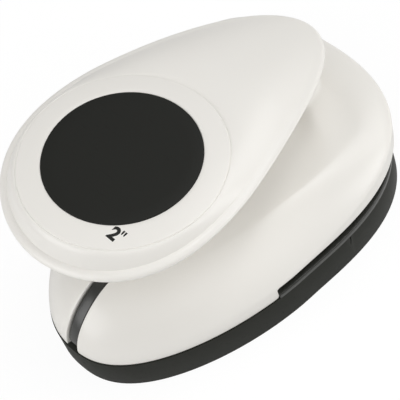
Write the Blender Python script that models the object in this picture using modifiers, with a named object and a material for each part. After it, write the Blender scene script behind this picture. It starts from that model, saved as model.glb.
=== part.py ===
import math

import bmesh
import bpy
from mathutils import Matrix, Vector

# A lever punch that cuts a two inch circle. Sizes are in metres.
# X runs across the punch, +Y points to the paper mouth and +Z is up.
# Heights are measured from the surface it stands on, and places from the middle of the base.

CUT_DIAMETER = 0.0508
CUT_CENTRE_Y = 0.018
SEAT_GAP = 0.0003  # clearance between pieces that rest on or fit in each other
OVERRUN = 0.002  # how far a cutter runs past what it cuts
WELD = 0.00001  # points closer than this become one
ROUND_SIDES = 48  # sides of the large round pieces

# The egg shaped outline of base and housing, as room left beside the guide frame and past the lever pin
BODY_SIDE_ROOM = 0.0118
BODY_END_ROOM = 0.0213
BODY_POWER = 2.36
BODY_TAPER_SHARE = 0.293
BODY_FULLNESS_SHARE = 0.04
BODY_SIDES = 56

# Base
RIM_HEIGHT = 0.0143
BASE_DRAFT = 0.0008
BASE_CHAMFER = 0.0006
BASE_WALL = 0.0026
BASE_FLOOR = 0.0022
DECK_RISE = 0.0023
DECK_THICKNESS = 0.0020
MOUTH_MARGIN = 0.0031
CHUTE_WALL = 0.0022
CHUTE_CLEARANCE = 0.0014
RIB_THICKNESS = 0.0016
BOSS_RADIUS = 0.0035

# Die plate
DIE_SIDE_MARGIN = 0.0076
DIE_END_MARGIN = 0.0036
DIE_THICKNESS = 0.0030
DIE_CORNER = 0.0040
DIE_CLEARANCE = 0.0001
DIE_SCREW_OUT = 0.0031
DIE_SCREW_IN = 0.0009

# Guide frame, a steel plate with a folded foot, flanges and lugs
PAPER_GAP = 0.0018
GUIDE_THICKNESS = 0.0024
GUIDE_SIDE_MARGIN = 0.0042
GUIDE_BACK_MARGIN = 0.0166
GUIDE_FRONT_MARGIN = 0.0116
GUIDE_CORNER = 0.0110
GUIDE_CLEARANCE = 0.00025
FOOT_LENGTH = 0.0115
FRAME_SCREW_SIDE_MARGIN = 0.0082
FRAME_SCREW_INNER_X = 0.0100
LUG_THICKNESS = 0.0020
LUG_LENGTH = 0.0078
FLANGE_HEIGHT = 0.0036
FLANGE_THICKNESS = 0.0016

# Lever pin
HINGE_OUT = 0.0046
HINGE_LIFT = 0.0040
PIN_RADIUS = 0.00195
PIN_CLEARANCE = 0.00008
ARM_BOSS_HALF_WIDTH = 0.0080
CLIP_THICKNESS = 0.0008
CLIP_RADIUS = 0.0034
CLIP_SLOT_SHARE = 0.8

# Punch, bridge and fork
PUNCH_RECESS = 0.0010
PUNCH_HEIGHT = 0.0065
PUNCH_HOLLOW_DEPTH = 0.0030
PUNCH_WALL = 0.0060
BRIDGE_THICKNESS = 0.0018
BRIDGE_HALF_WIDTH = 0.0130
BRIDGE_TAB_HALF_WIDTH = 0.0055
BRIDGE_BEND_IN = 0.0039
BRIDGE_BEND_OUT = 0.0021
BRIDGE_RISE = 0.0034
FORK_BASE_HALF_LENGTH = 0.0125
FORK_BASE_THICKNESS = 0.0020
FORK_HALF_WIDTH = 0.0052
FORK_EAR_THICKNESS = 0.0023
FORK_EAR_RADIUS = 0.0032
DRIVE_PIN_LIFT = 0.0057
DRIVE_PIN_HEAD = 0.0005
FORK_SCREW_REACH = 0.0090

# Return springs
SPRING_OUT = 0.0056
SPRING_RADIUS = 0.0029
SPRING_WIRE_RADIUS = 0.00036
SPRING_TURNS = 2.5
SPRING_END_TURNS = 0.75
SPRING_POINTS_PER_TURN = 10
SPRING_SEAT = 0.0006
SPRING_POCKET_CLEARANCE = 0.0005
LEAST_COIL_GAP = 0.0004

# Housing
HOUSING_SET_IN = 0.0004
HOUSING_WALL = 0.0022
HOUSING_OVERHANG = 0.0030
MOUTH_HEIGHT = 0.0039
CREST_ROOM = 0.0062
PRESS_CREST_DROP = 0.0032
PRESS_SHOULDER_RISE = 0.0004
HINGE_SHOULDER_DROP = 0.0070
PRESS_REACH = 0.0218
HINGE_REACH = 0.0068
PRESS_CURVE_SHARE = 1.16
HINGE_CURVE_SHARE = 0.75
FILLET_STEPS = 6
TROUGH_DEPTH = 0.0048
TROUGH_STEEPNESS_SHARE = 0.38
TROUGH_STEPS = 4
COLLAR_HALF_WIDTH = 0.0068
COLLAR_BACK_Y = -0.0150
COLLAR_FRONT_OUT = 0.0025
COLLAR_RIM = 0.0030
COLLAR_FOOT = 0.0040
COLLAR_LIFT = 0.0039
COLLAR_ROUND = 0.0012
COLLAR_CURVE_SHARE = 1.4
TROUGH_CURVE_SHARE = 0.8
TROUGH_FADE_SHARES = (-0.75, 0.1)
COLLAR_POWER = 4
HOUSING_SCREW_SHARES = ((0.645, -0.434), (0.366, -0.781))
LATCH_SLOT_HALF_WIDTH = 0.0026
LATCH_SLOT_LEVEL = 0.0206

# Storage latch
LATCH_PIN_INSET = 0.0080
LATCH_PIN_RISE = 0.0040
LATCH_PIN_RADIUS = 0.0012
LATCH_BOSS_RADIUS = 0.0032
LATCH_HALF_WIDTH = 0.0021
LATCH_THICKNESS = 0.0022
LATCH_RECESS = 0.0010
LATCH_END_GAP = 0.0006
LATCH_LIP = 0.0022
LATCH_LIP_THICKNESS = 0.0018
LATCH_START_ANGLE = math.radians(8)
LATCH_BEND_STEPS = 12
LATCH_POST_THICKNESS = 0.0024
LATCH_POST_HALF_LENGTH = 0.0021

# Lever, drawn in its own plane, whose origin is the middle of the top disc
LEVER_DISC_Y = -0.0201
LEVER_DISC_LIFT = 0.0417
LEVER_TILT = math.radians(8.37)
LEVER_HALF_WIDTH = 0.0361
LEVER_HALF_LENGTH = 0.06345
LEVER_MIDDLE = 0.0236
LEVER_POWER = 1.95
LEVER_TAPER_SHARES = (-0.393, 0.172, 0.093)
LEVER_EDGE_DROP = 0.0054
LEVER_DROOP_RADIUS = 0.281
LEVER_DROOP_START = 0.0097
LEVER_SIDES = 56
LEVER_SIDE_HEIGHT = 0.0016
LEVER_SIDE_DRAFT = 0.0007
LEVER_BEVEL = 0.0026
LEVER_BEVEL_RISE = 0.0017
LEVER_WALL = 0.0024
LEVER_ROOF_DROP = 0.0059
LEVER_ROOF_RADIUS = 0.0315
LEVER_BOSS_TOP_DROP = 0.0052
BEVEL_BREAK_SHARES = (0.3, 0.6)
DOME_STEPS = 5
PLATE_RADIUS = 0.0335
PLATE_THICKNESS = 0.0020
PLATE_EDGE_DROP = 0.0012
PLATE_EDGE = 0.0005
PLATE_INNER_DROP = 0.00035
PLATE_FOOT_DROP = 0.0022
PLATE_LIP = 0.0008
DISC_THICKNESS = 0.0012
DISC_CROWN = 0.0002
DISC_EDGE = 0.0004

# Lever arm
ARM_FLANGE_DROP = 0.0100
ARM_FLANGE_THICKNESS = 0.0024
ARM_FLANGE_BACK = -0.0170
ARM_FLANGE_FRONT = 0.0500
ARM_FLANGE_HALF_WIDTH = 0.0125
ARM_NOSE = 0.0660
ARM_NOSE_DROP = 0.0127
ARM_WEB_BACK = 0.0017
ARM_WEB_HALF_WIDTH = 0.0025
ARM_CHEEK_HALF_WIDTH = 0.0047
ARM_CHEEK_CLEARANCE = 0.0020
ARM_BOSS_RADIUS = 0.0036
ARM_HEEL_SHARE = 0.58
ARM_NECK_SHARES = (0.8, 0.5)
ARM_SLOT_LENGTH = 0.0072
ARM_SLOT_CLEARANCE = 0.00035
ARM_SLOT_OFFSET = 0.00085
ARM_SLOT_WALL = 0.0018
ARM_STEP = 0.0016
ARM_SCREW_X = 0.0086
ARM_SCREW_BACK = -0.0110
ARM_SCREW_FRONT = 0.0430

# Screws
SCREW_RADIUS = 0.00125
SCREW_HEAD_RADIUS = 0.0024
SCREW_HEAD_HEIGHT = 0.0015
SCREW_HOLE_CLEARANCE = 0.0003
SCREW_STEPS = 12
HEAD_CROWN_SHARE = 0.7
TIP_SHARE = 0.6
HEAD_RECESS = 0.0020
LONG_SCREW = 0.0150
DIE_SCREW_LENGTH = 0.0085
FRAME_SCREW_LENGTH = 0.0095
FORK_SCREW_LENGTH = 0.0070
ARM_SCREW_LENGTH = 0.0052

# Sizes worked out from those above
CUT_RADIUS = CUT_DIAMETER / 2
DECK_TOP = RIM_HEIGHT + DECK_RISE
DECK_BOTTOM = DECK_TOP - DECK_THICKNESS
DIE_HALF_WIDTH = CUT_RADIUS + DIE_SIDE_MARGIN
DIE_BACK_Y = CUT_CENTRE_Y - CUT_RADIUS - DIE_END_MARGIN
DIE_FRONT_Y = CUT_CENTRE_Y + CUT_RADIUS + DIE_END_MARGIN
DIE_BOTTOM = DECK_TOP - DIE_THICKNESS
DIE_SEAT = DIE_BOTTOM - SEAT_GAP
DIE_SCREW_X = CUT_RADIUS + DIE_SCREW_OUT
DIE_SCREW_REACH = CUT_RADIUS - DIE_SCREW_IN
GUIDE_BOTTOM = DECK_TOP + PAPER_GAP
GUIDE_TOP = GUIDE_BOTTOM + GUIDE_THICKNESS
SPRING_X = CUT_RADIUS + SPRING_OUT
GUIDE_HALF_WIDTH = SPRING_X + GUIDE_SIDE_MARGIN
GUIDE_BACK_Y = CUT_CENTRE_Y - CUT_RADIUS - GUIDE_BACK_MARGIN
GUIDE_FRONT_Y = CUT_CENTRE_Y + CUT_RADIUS + GUIDE_FRONT_MARGIN
FOOT_FRONT_Y = GUIDE_BACK_Y + FOOT_LENGTH
FOOT_BOTTOM = RIM_HEIGHT + SEAT_GAP
FRAME_SCREW_Y = GUIDE_BACK_Y + FOOT_LENGTH / 2
FRAME_SCREW_OUTER_X = GUIDE_HALF_WIDTH - FRAME_SCREW_SIDE_MARGIN
PUNCH_FACE = GUIDE_BOTTOM + PUNCH_RECESS
PUNCH_TOP = PUNCH_FACE + PUNCH_HEIGHT
BRIDGE_BOTTOM = PUNCH_TOP + SEAT_GAP
BRIDGE_TOP = BRIDGE_BOTTOM + BRIDGE_THICKNESS
BRIDGE_BEND_START_X = CUT_RADIUS - BRIDGE_BEND_IN
BRIDGE_BEND_END_X = CUT_RADIUS + BRIDGE_BEND_OUT
FORK_BOTTOM = BRIDGE_TOP + SEAT_GAP
FORK_BASE_TOP = FORK_BOTTOM + FORK_BASE_THICKNESS
DRIVE_PIN_Z = FORK_BASE_TOP + DRIVE_PIN_LIFT
CHEEK_BOTTOM = DRIVE_PIN_Z + FORK_EAR_RADIUS + ARM_CHEEK_CLEARANCE
HINGE_Y = CUT_CENTRE_Y + CUT_RADIUS + HINGE_OUT
HINGE_Z = GUIDE_TOP + HINGE_LIFT
BODY_HALF_WIDTH = GUIDE_HALF_WIDTH + BODY_SIDE_ROOM
BODY_HALF_LENGTH = HINGE_Y + BODY_END_ROOM
HOUSING_BOTTOM = RIM_HEIGHT + SEAT_GAP
MOUTH_TOP = DECK_TOP + MOUTH_HEIGHT
MOUTH_START_Y = CUT_CENTRE_Y - CUT_RADIUS - MOUTH_MARGIN
CREST_HEIGHT = FORK_BASE_TOP + CREST_ROOM
PRESS_CREST = CREST_HEIGHT - PRESS_CREST_DROP
PRESS_SHOULDER = RIM_HEIGHT + PRESS_SHOULDER_RISE
HINGE_SHOULDER = CREST_HEIGHT - HINGE_SHOULDER_DROP
PRESS_MIDDLE_Y = BASE_DRAFT + HOUSING_SET_IN + PRESS_REACH - BODY_HALF_LENGTH
COLLAR_FRONT_Y = HINGE_Y + COLLAR_FRONT_OUT
COLLAR_TOP = CREST_HEIGHT + COLLAR_LIFT
COLLAR_MIDDLE_Y = (COLLAR_BACK_Y + COLLAR_FRONT_Y) / 2
COLLAR_HALF_LENGTH = (COLLAR_FRONT_Y - COLLAR_BACK_Y) / 2
LATCH_PIN_Y = LATCH_PIN_INSET - BODY_HALF_LENGTH
LATCH_PIN_Z = RIM_HEIGHT + LATCH_PIN_RISE
LATCH_SLOT_END_Y = PRESS_MIDDLE_Y + LATCH_SLOT_LEVEL
LATCH_END_Y = LATCH_SLOT_END_Y - LATCH_END_GAP
PIN_HOLE_RADIUS = PIN_RADIUS + PIN_CLEARANCE
SCREW_HOLE_RADIUS = SCREW_RADIUS + SCREW_HOLE_CLEARANCE
LEVER_DISC_PLACE = (0, LEVER_DISC_Y, CREST_HEIGHT + LEVER_DISC_LIFT)
LEVER_AXES = Matrix.Translation(LEVER_DISC_PLACE) @ Matrix.Rotation(-LEVER_TILT, 4, "X")


def new_collection(name):
    collection = bpy.data.collections.new(name)
    bpy.context.scene.collection.children.link(collection)
    return collection


def material(name, colour, roughness, metallic=0.0):
    made = bpy.data.materials.new(name)
    made.use_nodes = True
    shader = made.node_tree.nodes["Principled BSDF"]
    shader.inputs["Base Color"].default_value = (*colour, 1)
    shader.inputs["Roughness"].default_value = roughness
    shader.inputs["Metallic"].default_value = metallic
    return made


def pivot(name, place, parent):
    empty = bpy.data.objects.new(name, None)
    parts.objects.link(empty)
    empty.parent = parent
    empty.location = place
    return empty


def piece(name, mesh, finish, pivot_empty=None):
    # A piece of the punch. On a pivot it keeps its place and turns or slides with it.
    obj = bpy.data.objects.new(name, mesh)
    parts.objects.link(obj)
    obj.parent = pivot_empty or stand
    if pivot_empty:
        obj.matrix_parent_inverse = Matrix.Translation(-pivot_empty.location)
    mesh.name = name
    mesh.materials.clear()
    mesh.materials.append(finish)
    mesh.shade_smooth()
    mesh.set_sharp_from_angle(angle=math.radians(35))
    return obj


def guide_shape(name, mesh):
    # A solid that only cuts or joins a piece.
    obj = bpy.data.objects.new(name, mesh)
    guides.objects.link(obj)
    obj.parent = stand
    obj.hide_render = True
    obj.display_type = "WIRE"
    return obj


def combine(target, name, mesh, operation):
    modifier = target.modifiers.new(name, "BOOLEAN")
    modifier.operation = operation
    modifier.solver = "EXACT"
    modifier.object = guide_shape(name, mesh)
    return modifier.object


def cut(target, name, mesh):
    return combine(target, name, mesh, "DIFFERENCE")


def join(target, name, mesh):
    return combine(target, name, mesh, "UNION")


def finished_mesh(bm):
    bmesh.ops.recalc_face_normals(bm, faces=bm.faces)
    mesh = bpy.data.meshes.new("solid")
    bm.to_mesh(mesh)
    bm.free()
    return mesh


def box(low, high):
    low, high = Vector(low), Vector(high)
    bm = bmesh.new()
    bmesh.ops.create_cube(bm, size=1)
    bmesh.ops.scale(bm, vec=high - low, verts=bm.verts)
    bmesh.ops.translate(bm, vec=(low + high) / 2, verts=bm.verts)
    return finished_mesh(bm)


def cylinder(radius, bottom, top, x, y, sides=20):
    bm = bmesh.new()
    bmesh.ops.create_cone(
        bm, cap_ends=True, segments=sides, radius1=radius, radius2=radius, depth=top - bottom)
    bmesh.ops.translate(bm, vec=(x, y, (top + bottom) / 2), verts=bm.verts)
    return finished_mesh(bm)


def cross_bar(radius, half_length, y, z, sides=20, middle_x=0.0):
    # A cylinder that lies along X.
    bm = bmesh.new()
    bmesh.ops.create_cone(
        bm, cap_ends=True, segments=sides, radius1=radius, radius2=radius, depth=2 * half_length)
    bmesh.ops.rotate(bm, matrix=Matrix.Rotation(math.pi / 2, 3, "Y"), verts=bm.verts)
    bmesh.ops.translate(bm, vec=(middle_x, y, z), verts=bm.verts)
    return finished_mesh(bm)


def loft(rings, closed=True):
    # Skins closed rings that have as many points each, and caps both ends when closed.
    bm = bmesh.new()
    levels = [[bm.verts.new(point) for point in ring] for ring in rings]
    count = len(rings[0])
    for low, high in zip(levels, levels[1:]):
        for i in range(count):
            j = (i + 1) % count
            bm.faces.new((low[i], low[j], high[j], high[i]))
    if closed:
        bm.faces.new(levels[0][::-1])
        bm.faces.new(levels[-1])
        return finished_mesh(bm)
    mesh = bpy.data.meshes.new("skin")
    bm.to_mesh(mesh)
    bm.free()
    return mesh


def flat_solid(outline, thickness, place):
    # A flat outline with thickness, made from a filled curve and moved by the matrix place.
    curve = bpy.data.curves.new("outline", "CURVE")
    curve.dimensions = "2D"
    curve.fill_mode = "BOTH"
    curve.extrude = thickness / 2
    spline = curve.splines.new("POLY")
    spline.points.add(len(outline) - 1)
    for point, (u, v) in zip(spline.points, outline):
        point.co = (u, v, 0, 1)
    spline.use_cyclic_u = True
    obj = bpy.data.objects.new("outline", curve)
    guides.objects.link(obj)
    solid = bpy.data.meshes.new_from_object(obj.evaluated_get(bpy.context.evaluated_depsgraph_get()))
    bpy.data.objects.remove(obj)
    bm = bmesh.new()
    bm.from_mesh(solid)
    bmesh.ops.remove_doubles(bm, verts=bm.verts, dist=WELD)
    bmesh.ops.transform(bm, matrix=place, verts=bm.verts)
    return finished_mesh(bm)


def plate(outline, bottom, top):
    return flat_solid(outline, top - bottom, Matrix.Translation((0, 0, (bottom + top) / 2)))


def side_solid(outline, low_x, high_x):
    # A flat outline of (y, z) places with its thickness along X.
    upright = Matrix(((0, 0, 1, (low_x + high_x) / 2), (1, 0, 0, 0), (0, 1, 0, 0), (0, 0, 0, 1)))
    return flat_solid(outline, high_x - low_x, upright)


def turned(name, profile, steps, finish, pivot_empty=None):
    # Turns a profile of (radius, height) places about Z. It runs from the top down.
    mesh = bpy.data.meshes.new(name)
    mesh.from_pydata([(radius, 0, height) for radius, height in profile],
                     [(i, i + 1) for i in range(len(profile) - 1)], [])
    obj = piece(name, mesh, finish, pivot_empty)
    modifier = obj.modifiers.new("turned", "SCREW")
    modifier.axis = "Z"
    modifier.steps = steps
    modifier.render_steps = steps
    modifier.use_merge_vertices = True
    modifier.merge_threshold = WELD
    return obj


def tube(points, radius):
    # A round wire through the points, as a mesh with welded ends.
    curve = bpy.data.curves.new("wire", "CURVE")
    curve.dimensions = "3D"
    curve.bevel_depth = radius
    curve.bevel_resolution = 1
    curve.use_fill_caps = True
    spline = curve.splines.new("POLY")
    spline.points.add(len(points) - 1)
    for point, place in zip(spline.points, points):
        point.co = (*place, 1)
    obj = bpy.data.objects.new("wire", curve)
    guides.objects.link(obj)
    wire = bpy.data.meshes.new_from_object(obj.evaluated_get(bpy.context.evaluated_depsgraph_get()))
    bpy.data.objects.remove(obj)
    bm = bmesh.new()
    bm.from_mesh(wire)
    bmesh.ops.remove_doubles(bm, verts=bm.verts, dist=WELD)
    return finished_mesh(bm)


def screw(name, length, place, pivot_empty=None, frame=None, upside_down=False):
    # A round head screw. The underside of its head is at place, and its tip points down.
    profile = (
        (0, SCREW_HEAD_HEIGHT),
        (SCREW_HEAD_RADIUS * HEAD_CROWN_SHARE, SCREW_HEAD_HEIGHT),
        (SCREW_HEAD_RADIUS, SCREW_HEAD_HEIGHT / 2),
        (SCREW_HEAD_RADIUS, 0),
        (SCREW_RADIUS, 0),
        (SCREW_RADIUS, SCREW_RADIUS - length),
        (SCREW_RADIUS * TIP_SHARE, -length),
        (0, -length),
    )
    obj = turned(name, profile, SCREW_STEPS, screw_steel, pivot_empty)
    turn = Matrix.Rotation(math.pi, 4, "X") if upside_down else Matrix.Identity(4)
    obj.matrix_basis = (frame or Matrix.Identity(4)) @ Matrix.Translation(place) @ turn
    return obj


def superellipse(turn, power):
    across, along = math.cos(turn), math.sin(turn)
    return (
        math.copysign(abs(across) ** (2 / power), across),
        math.copysign(abs(along) ** (2 / power), along),
    )


def turns_round(count):
    return [2 * math.pi * i / count for i in range(count)]


def circle(radius, count, x=0.0, y=0.0):
    return [Vector((x + radius * math.cos(a), y + radius * math.sin(a))) for a in turns_round(count)]


def drawn_in(points, insets):
    # Moves each point of a closed outline inwards by its own inset.
    moved = []
    for i, (point, inset) in enumerate(zip(points, insets)):
        along = points[(i + 1) % len(points)] - points[i - 1]
        moved.append(point + Vector((-along.y, along.x)).normalized() * inset)
    return moved


def body_outline(inset=0.0, overhang=0.0):
    # The egg shape seen from above. The mouth end can hang over by a given length.
    points = []
    for turn in turns_round(BODY_SIDES):
        across, along = superellipse(turn, BODY_POWER)
        s = math.sin(turn)
        width = BODY_HALF_WIDTH * (1 + BODY_TAPER_SHARE * s + BODY_FULLNESS_SHARE * s * s)
        length = BODY_HALF_LENGTH + (overhang if s > 0 else 0)
        points.append(Vector((width * across, length * along)))
    return drawn_in(points, [inset] * len(points))


def at_height(points, z):
    return [point.to_3d() + Vector((0, 0, z)) for point in points]


def rounded_box(half_width, back_y, front_y, corner, steps=5):
    points = []
    centres = (
        (half_width - corner, front_y - corner),
        (corner - half_width, front_y - corner),
        (corner - half_width, back_y + corner),
        (half_width - corner, back_y + corner),
    )
    for quarter, centre in enumerate(centres):
        for step in range(steps + 1):
            angle = math.pi / 2 * (quarter + step / steps)
            points.append(Vector(centre) + corner * Vector((math.cos(angle), math.sin(angle))))
    return points


def smooth_step(low, high, value):
    share = min(1, max(0, (value - low) / (high - low)))
    return share * share * (3 - 2 * share)


def blend(start, end, share):
    return start + (end - start) * share


def mirrored(x, y):
    return ((x, y), (-x, y))


def die_screw_places():
    return [place for reach in (DIE_SCREW_REACH, -DIE_SCREW_REACH)
            for place in mirrored(DIE_SCREW_X, CUT_CENTRE_Y + reach)]


def frame_screw_places():
    return [place for x in (FRAME_SCREW_OUTER_X, FRAME_SCREW_INNER_X)
            for place in mirrored(x, FRAME_SCREW_Y)]


def housing_screw_places():
    return [place for across, along in HOUSING_SCREW_SHARES
            for place in mirrored(across * BODY_HALF_WIDTH, along * BODY_HALF_LENGTH)]


def make_base_tray():
    rings = [
        at_height(body_outline(BASE_CHAMFER), 0),
        at_height(body_outline(), BASE_CHAMFER),
        at_height(body_outline(BASE_DRAFT), RIM_HEIGHT),
    ]
    tray = piece("base_tray", loft(rings), base_black)
    inside = [at_height(body_outline(BASE_WALL + BASE_DRAFT), z)
              for z in (BASE_FLOOR, RIM_HEIGHT + OVERRUN)]
    cut(tray, "tray_inside", loft(inside))
    chute = CUT_RADIUS + CHUTE_CLEARANCE
    join(tray, "chute_wall", cylinder(
        chute + CHUTE_WALL, BASE_FLOOR / 2, DIE_SEAT, 0, CUT_CENTRE_Y, ROUND_SIDES))
    for i, (x, y) in enumerate(die_screw_places()):
        join(tray, f"die_boss_{i}", cylinder(BOSS_RADIUS, BASE_FLOOR / 2, DIE_SEAT, x, y))
    for i, (x, y) in enumerate(frame_screw_places()):
        join(tray, f"frame_boss_{i}", cylinder(BOSS_RADIUS, BASE_FLOOR / 2, RIM_HEIGHT, x, y))
    for i, (x, y) in enumerate(housing_screw_places()):
        join(tray, f"housing_boss_{i}", cylinder(BOSS_RADIUS, BASE_FLOOR / 2, RIM_HEIGHT, x, y))
    rib = RIB_THICKNESS / 2
    join(tray, "cross_rib", box(
        (-BODY_HALF_WIDTH, CUT_CENTRE_Y - rib, BASE_FLOOR / 2),
        (BODY_HALF_WIDTH, CUT_CENTRE_Y + rib, DIE_SEAT)))
    join(tray, "long_rib", box(
        (-rib, LATCH_PIN_Y + LATCH_POST_HALF_LENGTH + BASE_WALL, BASE_FLOOR / 2),
        (rib, BODY_HALF_LENGTH - BASE_WALL, DIE_SEAT)))
    for side in (-1, 1):
        near = side * (LATCH_HALF_WIDTH + 2 * SEAT_GAP)
        far = near + side * LATCH_POST_THICKNESS
        join(tray, f"latch_post_{side}", box(
            (min(near, far), LATCH_PIN_Y - LATCH_POST_HALF_LENGTH, BASE_FLOOR / 2),
            (max(near, far), LATCH_PIN_Y + LATCH_POST_HALF_LENGTH, LATCH_PIN_Z + LATCH_POST_HALF_LENGTH)))
    cut(tray, "latch_pin_hole", cross_bar(
        LATCH_PIN_RADIUS + PIN_CLEARANCE, BODY_HALF_WIDTH, LATCH_PIN_Y, LATCH_PIN_Z, 12))
    cut(tray, "chute", cylinder(chute, -OVERRUN, RIM_HEIGHT, 0, CUT_CENTRE_Y, ROUND_SIDES))
    for i, (x, y) in enumerate(die_screw_places() + frame_screw_places()):
        cut(tray, f"screw_hole_{i}", cylinder(SCREW_HOLE_RADIUS, BASE_FLOOR, RIM_HEIGHT + OVERRUN, x, y, 12))
    for i, (x, y) in enumerate(housing_screw_places()):
        cut(tray, f"through_hole_{i}", cylinder(
            SCREW_HOLE_RADIUS, -OVERRUN, RIM_HEIGHT + OVERRUN, x, y, 12))
        cut(tray, f"head_recess_{i}", cylinder(
            SCREW_HEAD_RADIUS + SEAT_GAP, -OVERRUN, HEAD_RECESS, x, y))
    return tray


def die_outline(clearance=0.0):
    return rounded_box(
        DIE_HALF_WIDTH + clearance, DIE_BACK_Y - clearance, DIE_FRONT_Y + clearance, DIE_CORNER + clearance)


def make_paper_deck():
    deck = piece("paper_deck", plate(body_outline(BASE_DRAFT), DECK_BOTTOM, DECK_TOP), base_black)
    wide = 2 * BODY_HALF_LENGTH
    cut(deck, "deck_back", box((-wide, -wide, 0), (wide, MOUTH_START_Y, 2 * DECK_TOP)))
    cut(deck, "deck_opening", plate(die_outline(SEAT_GAP), 0, 2 * DECK_TOP))
    return deck


def make_die_plate():
    die = piece("die_plate", plate(die_outline(), DIE_BOTTOM, DECK_TOP), cutting_steel)
    cut(die, "die_hole", cylinder(
        CUT_RADIUS + DIE_CLEARANCE, 0, 2 * DECK_TOP, 0, CUT_CENTRE_Y, ROUND_SIDES))
    for i, (x, y) in enumerate(die_screw_places()):
        cut(die, f"die_screw_hole_{i}", cylinder(SCREW_HOLE_RADIUS, 0, 2 * DECK_TOP, x, y, 12))
        cut(die, f"die_head_recess_{i}", cylinder(
            SCREW_HEAD_RADIUS + SEAT_GAP, DECK_TOP - SCREW_HEAD_HEIGHT - SEAT_GAP, 2 * DECK_TOP, x, y))
        screw(f"die_screw_{i + 1}", DIE_SCREW_LENGTH, (x, y, DECK_TOP - SCREW_HEAD_HEIGHT - SEAT_GAP / 2))
    return die


def make_guide_frame():
    outline = rounded_box(GUIDE_HALF_WIDTH, GUIDE_BACK_Y, GUIDE_FRONT_Y, GUIDE_CORNER)
    frame = piece("guide_frame", plate(outline, GUIDE_BOTTOM, GUIDE_TOP), frame_steel)
    foot_half = GUIDE_HALF_WIDTH - GUIDE_CORNER / 2
    join(frame, "foot", box(
        (-foot_half, GUIDE_BACK_Y, FOOT_BOTTOM), (foot_half, FOOT_FRONT_Y, GUIDE_TOP - SEAT_GAP)))
    for side in (-1, 1):
        near = side * (GUIDE_HALF_WIDTH - FLANGE_THICKNESS)
        far = side * GUIDE_HALF_WIDTH
        join(frame, f"flange_{side}", box(
            (min(near, far), GUIDE_BACK_Y + GUIDE_CORNER, GUIDE_BOTTOM + SEAT_GAP),
            (max(near, far), CUT_CENTRE_Y - SPRING_RADIUS - GUIDE_CORNER / 2, GUIDE_TOP + FLANGE_HEIGHT)))
        near = side * (ARM_BOSS_HALF_WIDTH + SEAT_GAP)
        far = near + side * LUG_THICKNESS
        lug = lug_outline()
        join(frame, f"lug_{side}", side_solid(lug, min(near, far), max(near, far)))
        cut(frame, f"spring_pocket_{side}", cylinder(
            SPRING_RADIUS + SPRING_WIRE_RADIUS + SPRING_POCKET_CLEARANCE,
            GUIDE_BOTTOM + SPRING_SEAT, 2 * GUIDE_TOP, side * SPRING_X, CUT_CENTRE_Y))
    cut(frame, "guide_bore", cylinder(
        CUT_RADIUS + GUIDE_CLEARANCE, 0, 2 * GUIDE_TOP, 0, CUT_CENTRE_Y, ROUND_SIDES))
    cut(frame, "hinge_hole", cross_bar(PIN_HOLE_RADIUS, BODY_HALF_WIDTH, HINGE_Y, HINGE_Z))
    for i, (x, y) in enumerate(frame_screw_places()):
        cut(frame, f"frame_screw_hole_{i}", cylinder(SCREW_HOLE_RADIUS, 0, 2 * GUIDE_TOP, x, y, 12))
        screw(f"frame_screw_{i + 1}", FRAME_SCREW_LENGTH, (x, y, GUIDE_TOP + SEAT_GAP / 2))
    return frame


def lug_outline():
    # An upright ear with a round top over the hinge pin.
    half = LUG_LENGTH / 2
    top = [(HINGE_Y + half * math.cos(a), HINGE_Z + half * math.sin(a))
           for a in (math.pi * i / 8 for i in range(9))]
    return [(HINGE_Y + half, GUIDE_BOTTOM + SEAT_GAP)] + top + [(HINGE_Y - half, GUIDE_BOTTOM + SEAT_GAP)]


def make_hinge_pin():
    reach = ARM_BOSS_HALF_WIDTH + SEAT_GAP + LUG_THICKNESS + 2 * SEAT_GAP + 2 * CLIP_THICKNESS
    pin = piece("hinge_pin", cross_bar(PIN_RADIUS, reach, HINGE_Y, HINGE_Z), pin_steel)
    for side, name in ((-1, "pin_clip_left"), (1, "pin_clip_right")):
        middle = side * (ARM_BOSS_HALF_WIDTH + 2 * SEAT_GAP + LUG_THICKNESS + CLIP_THICKNESS / 2)
        ring = cross_bar(CLIP_RADIUS, CLIP_THICKNESS / 2, HINGE_Y, HINGE_Z, middle_x=middle)
        clip = piece(name, ring, pin_steel)
        cut(clip, f"{name}_bore", cross_bar(
            PIN_HOLE_RADIUS, CLIP_THICKNESS, HINGE_Y, HINGE_Z, middle_x=middle))
        slot = PIN_RADIUS * CLIP_SLOT_SHARE
        cut(clip, f"{name}_slot", box(
            (middle - CLIP_THICKNESS, HINGE_Y - slot, HINGE_Z),
            (middle + CLIP_THICKNESS, HINGE_Y + slot, HINGE_Z + 2 * CLIP_RADIUS)))
    return pin


def make_punch(slide):
    inner = CUT_RADIUS - PUNCH_WALL
    profile = (
        (0, PUNCH_HEIGHT),
        (CUT_RADIUS, PUNCH_HEIGHT),
        (CUT_RADIUS, 0),
        (inner, 0),
        (inner - PUNCH_WALL / 4, PUNCH_HOLLOW_DEPTH),
        (0, PUNCH_HOLLOW_DEPTH),
    )
    punch = turned("punch", profile, ROUND_SIDES, cutting_steel, slide)
    punch.location = (0, CUT_CENTRE_Y, PUNCH_FACE)
    for side in (-1, 1):
        cut(punch, f"fork_screw_bore_{side}", cylinder(
            SCREW_HOLE_RADIUS, PUNCH_FACE + PUNCH_HOLLOW_DEPTH / 2, PUNCH_TOP + OVERRUN,
            0, CUT_CENTRE_Y + side * FORK_SCREW_REACH, 12))
    return punch


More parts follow.
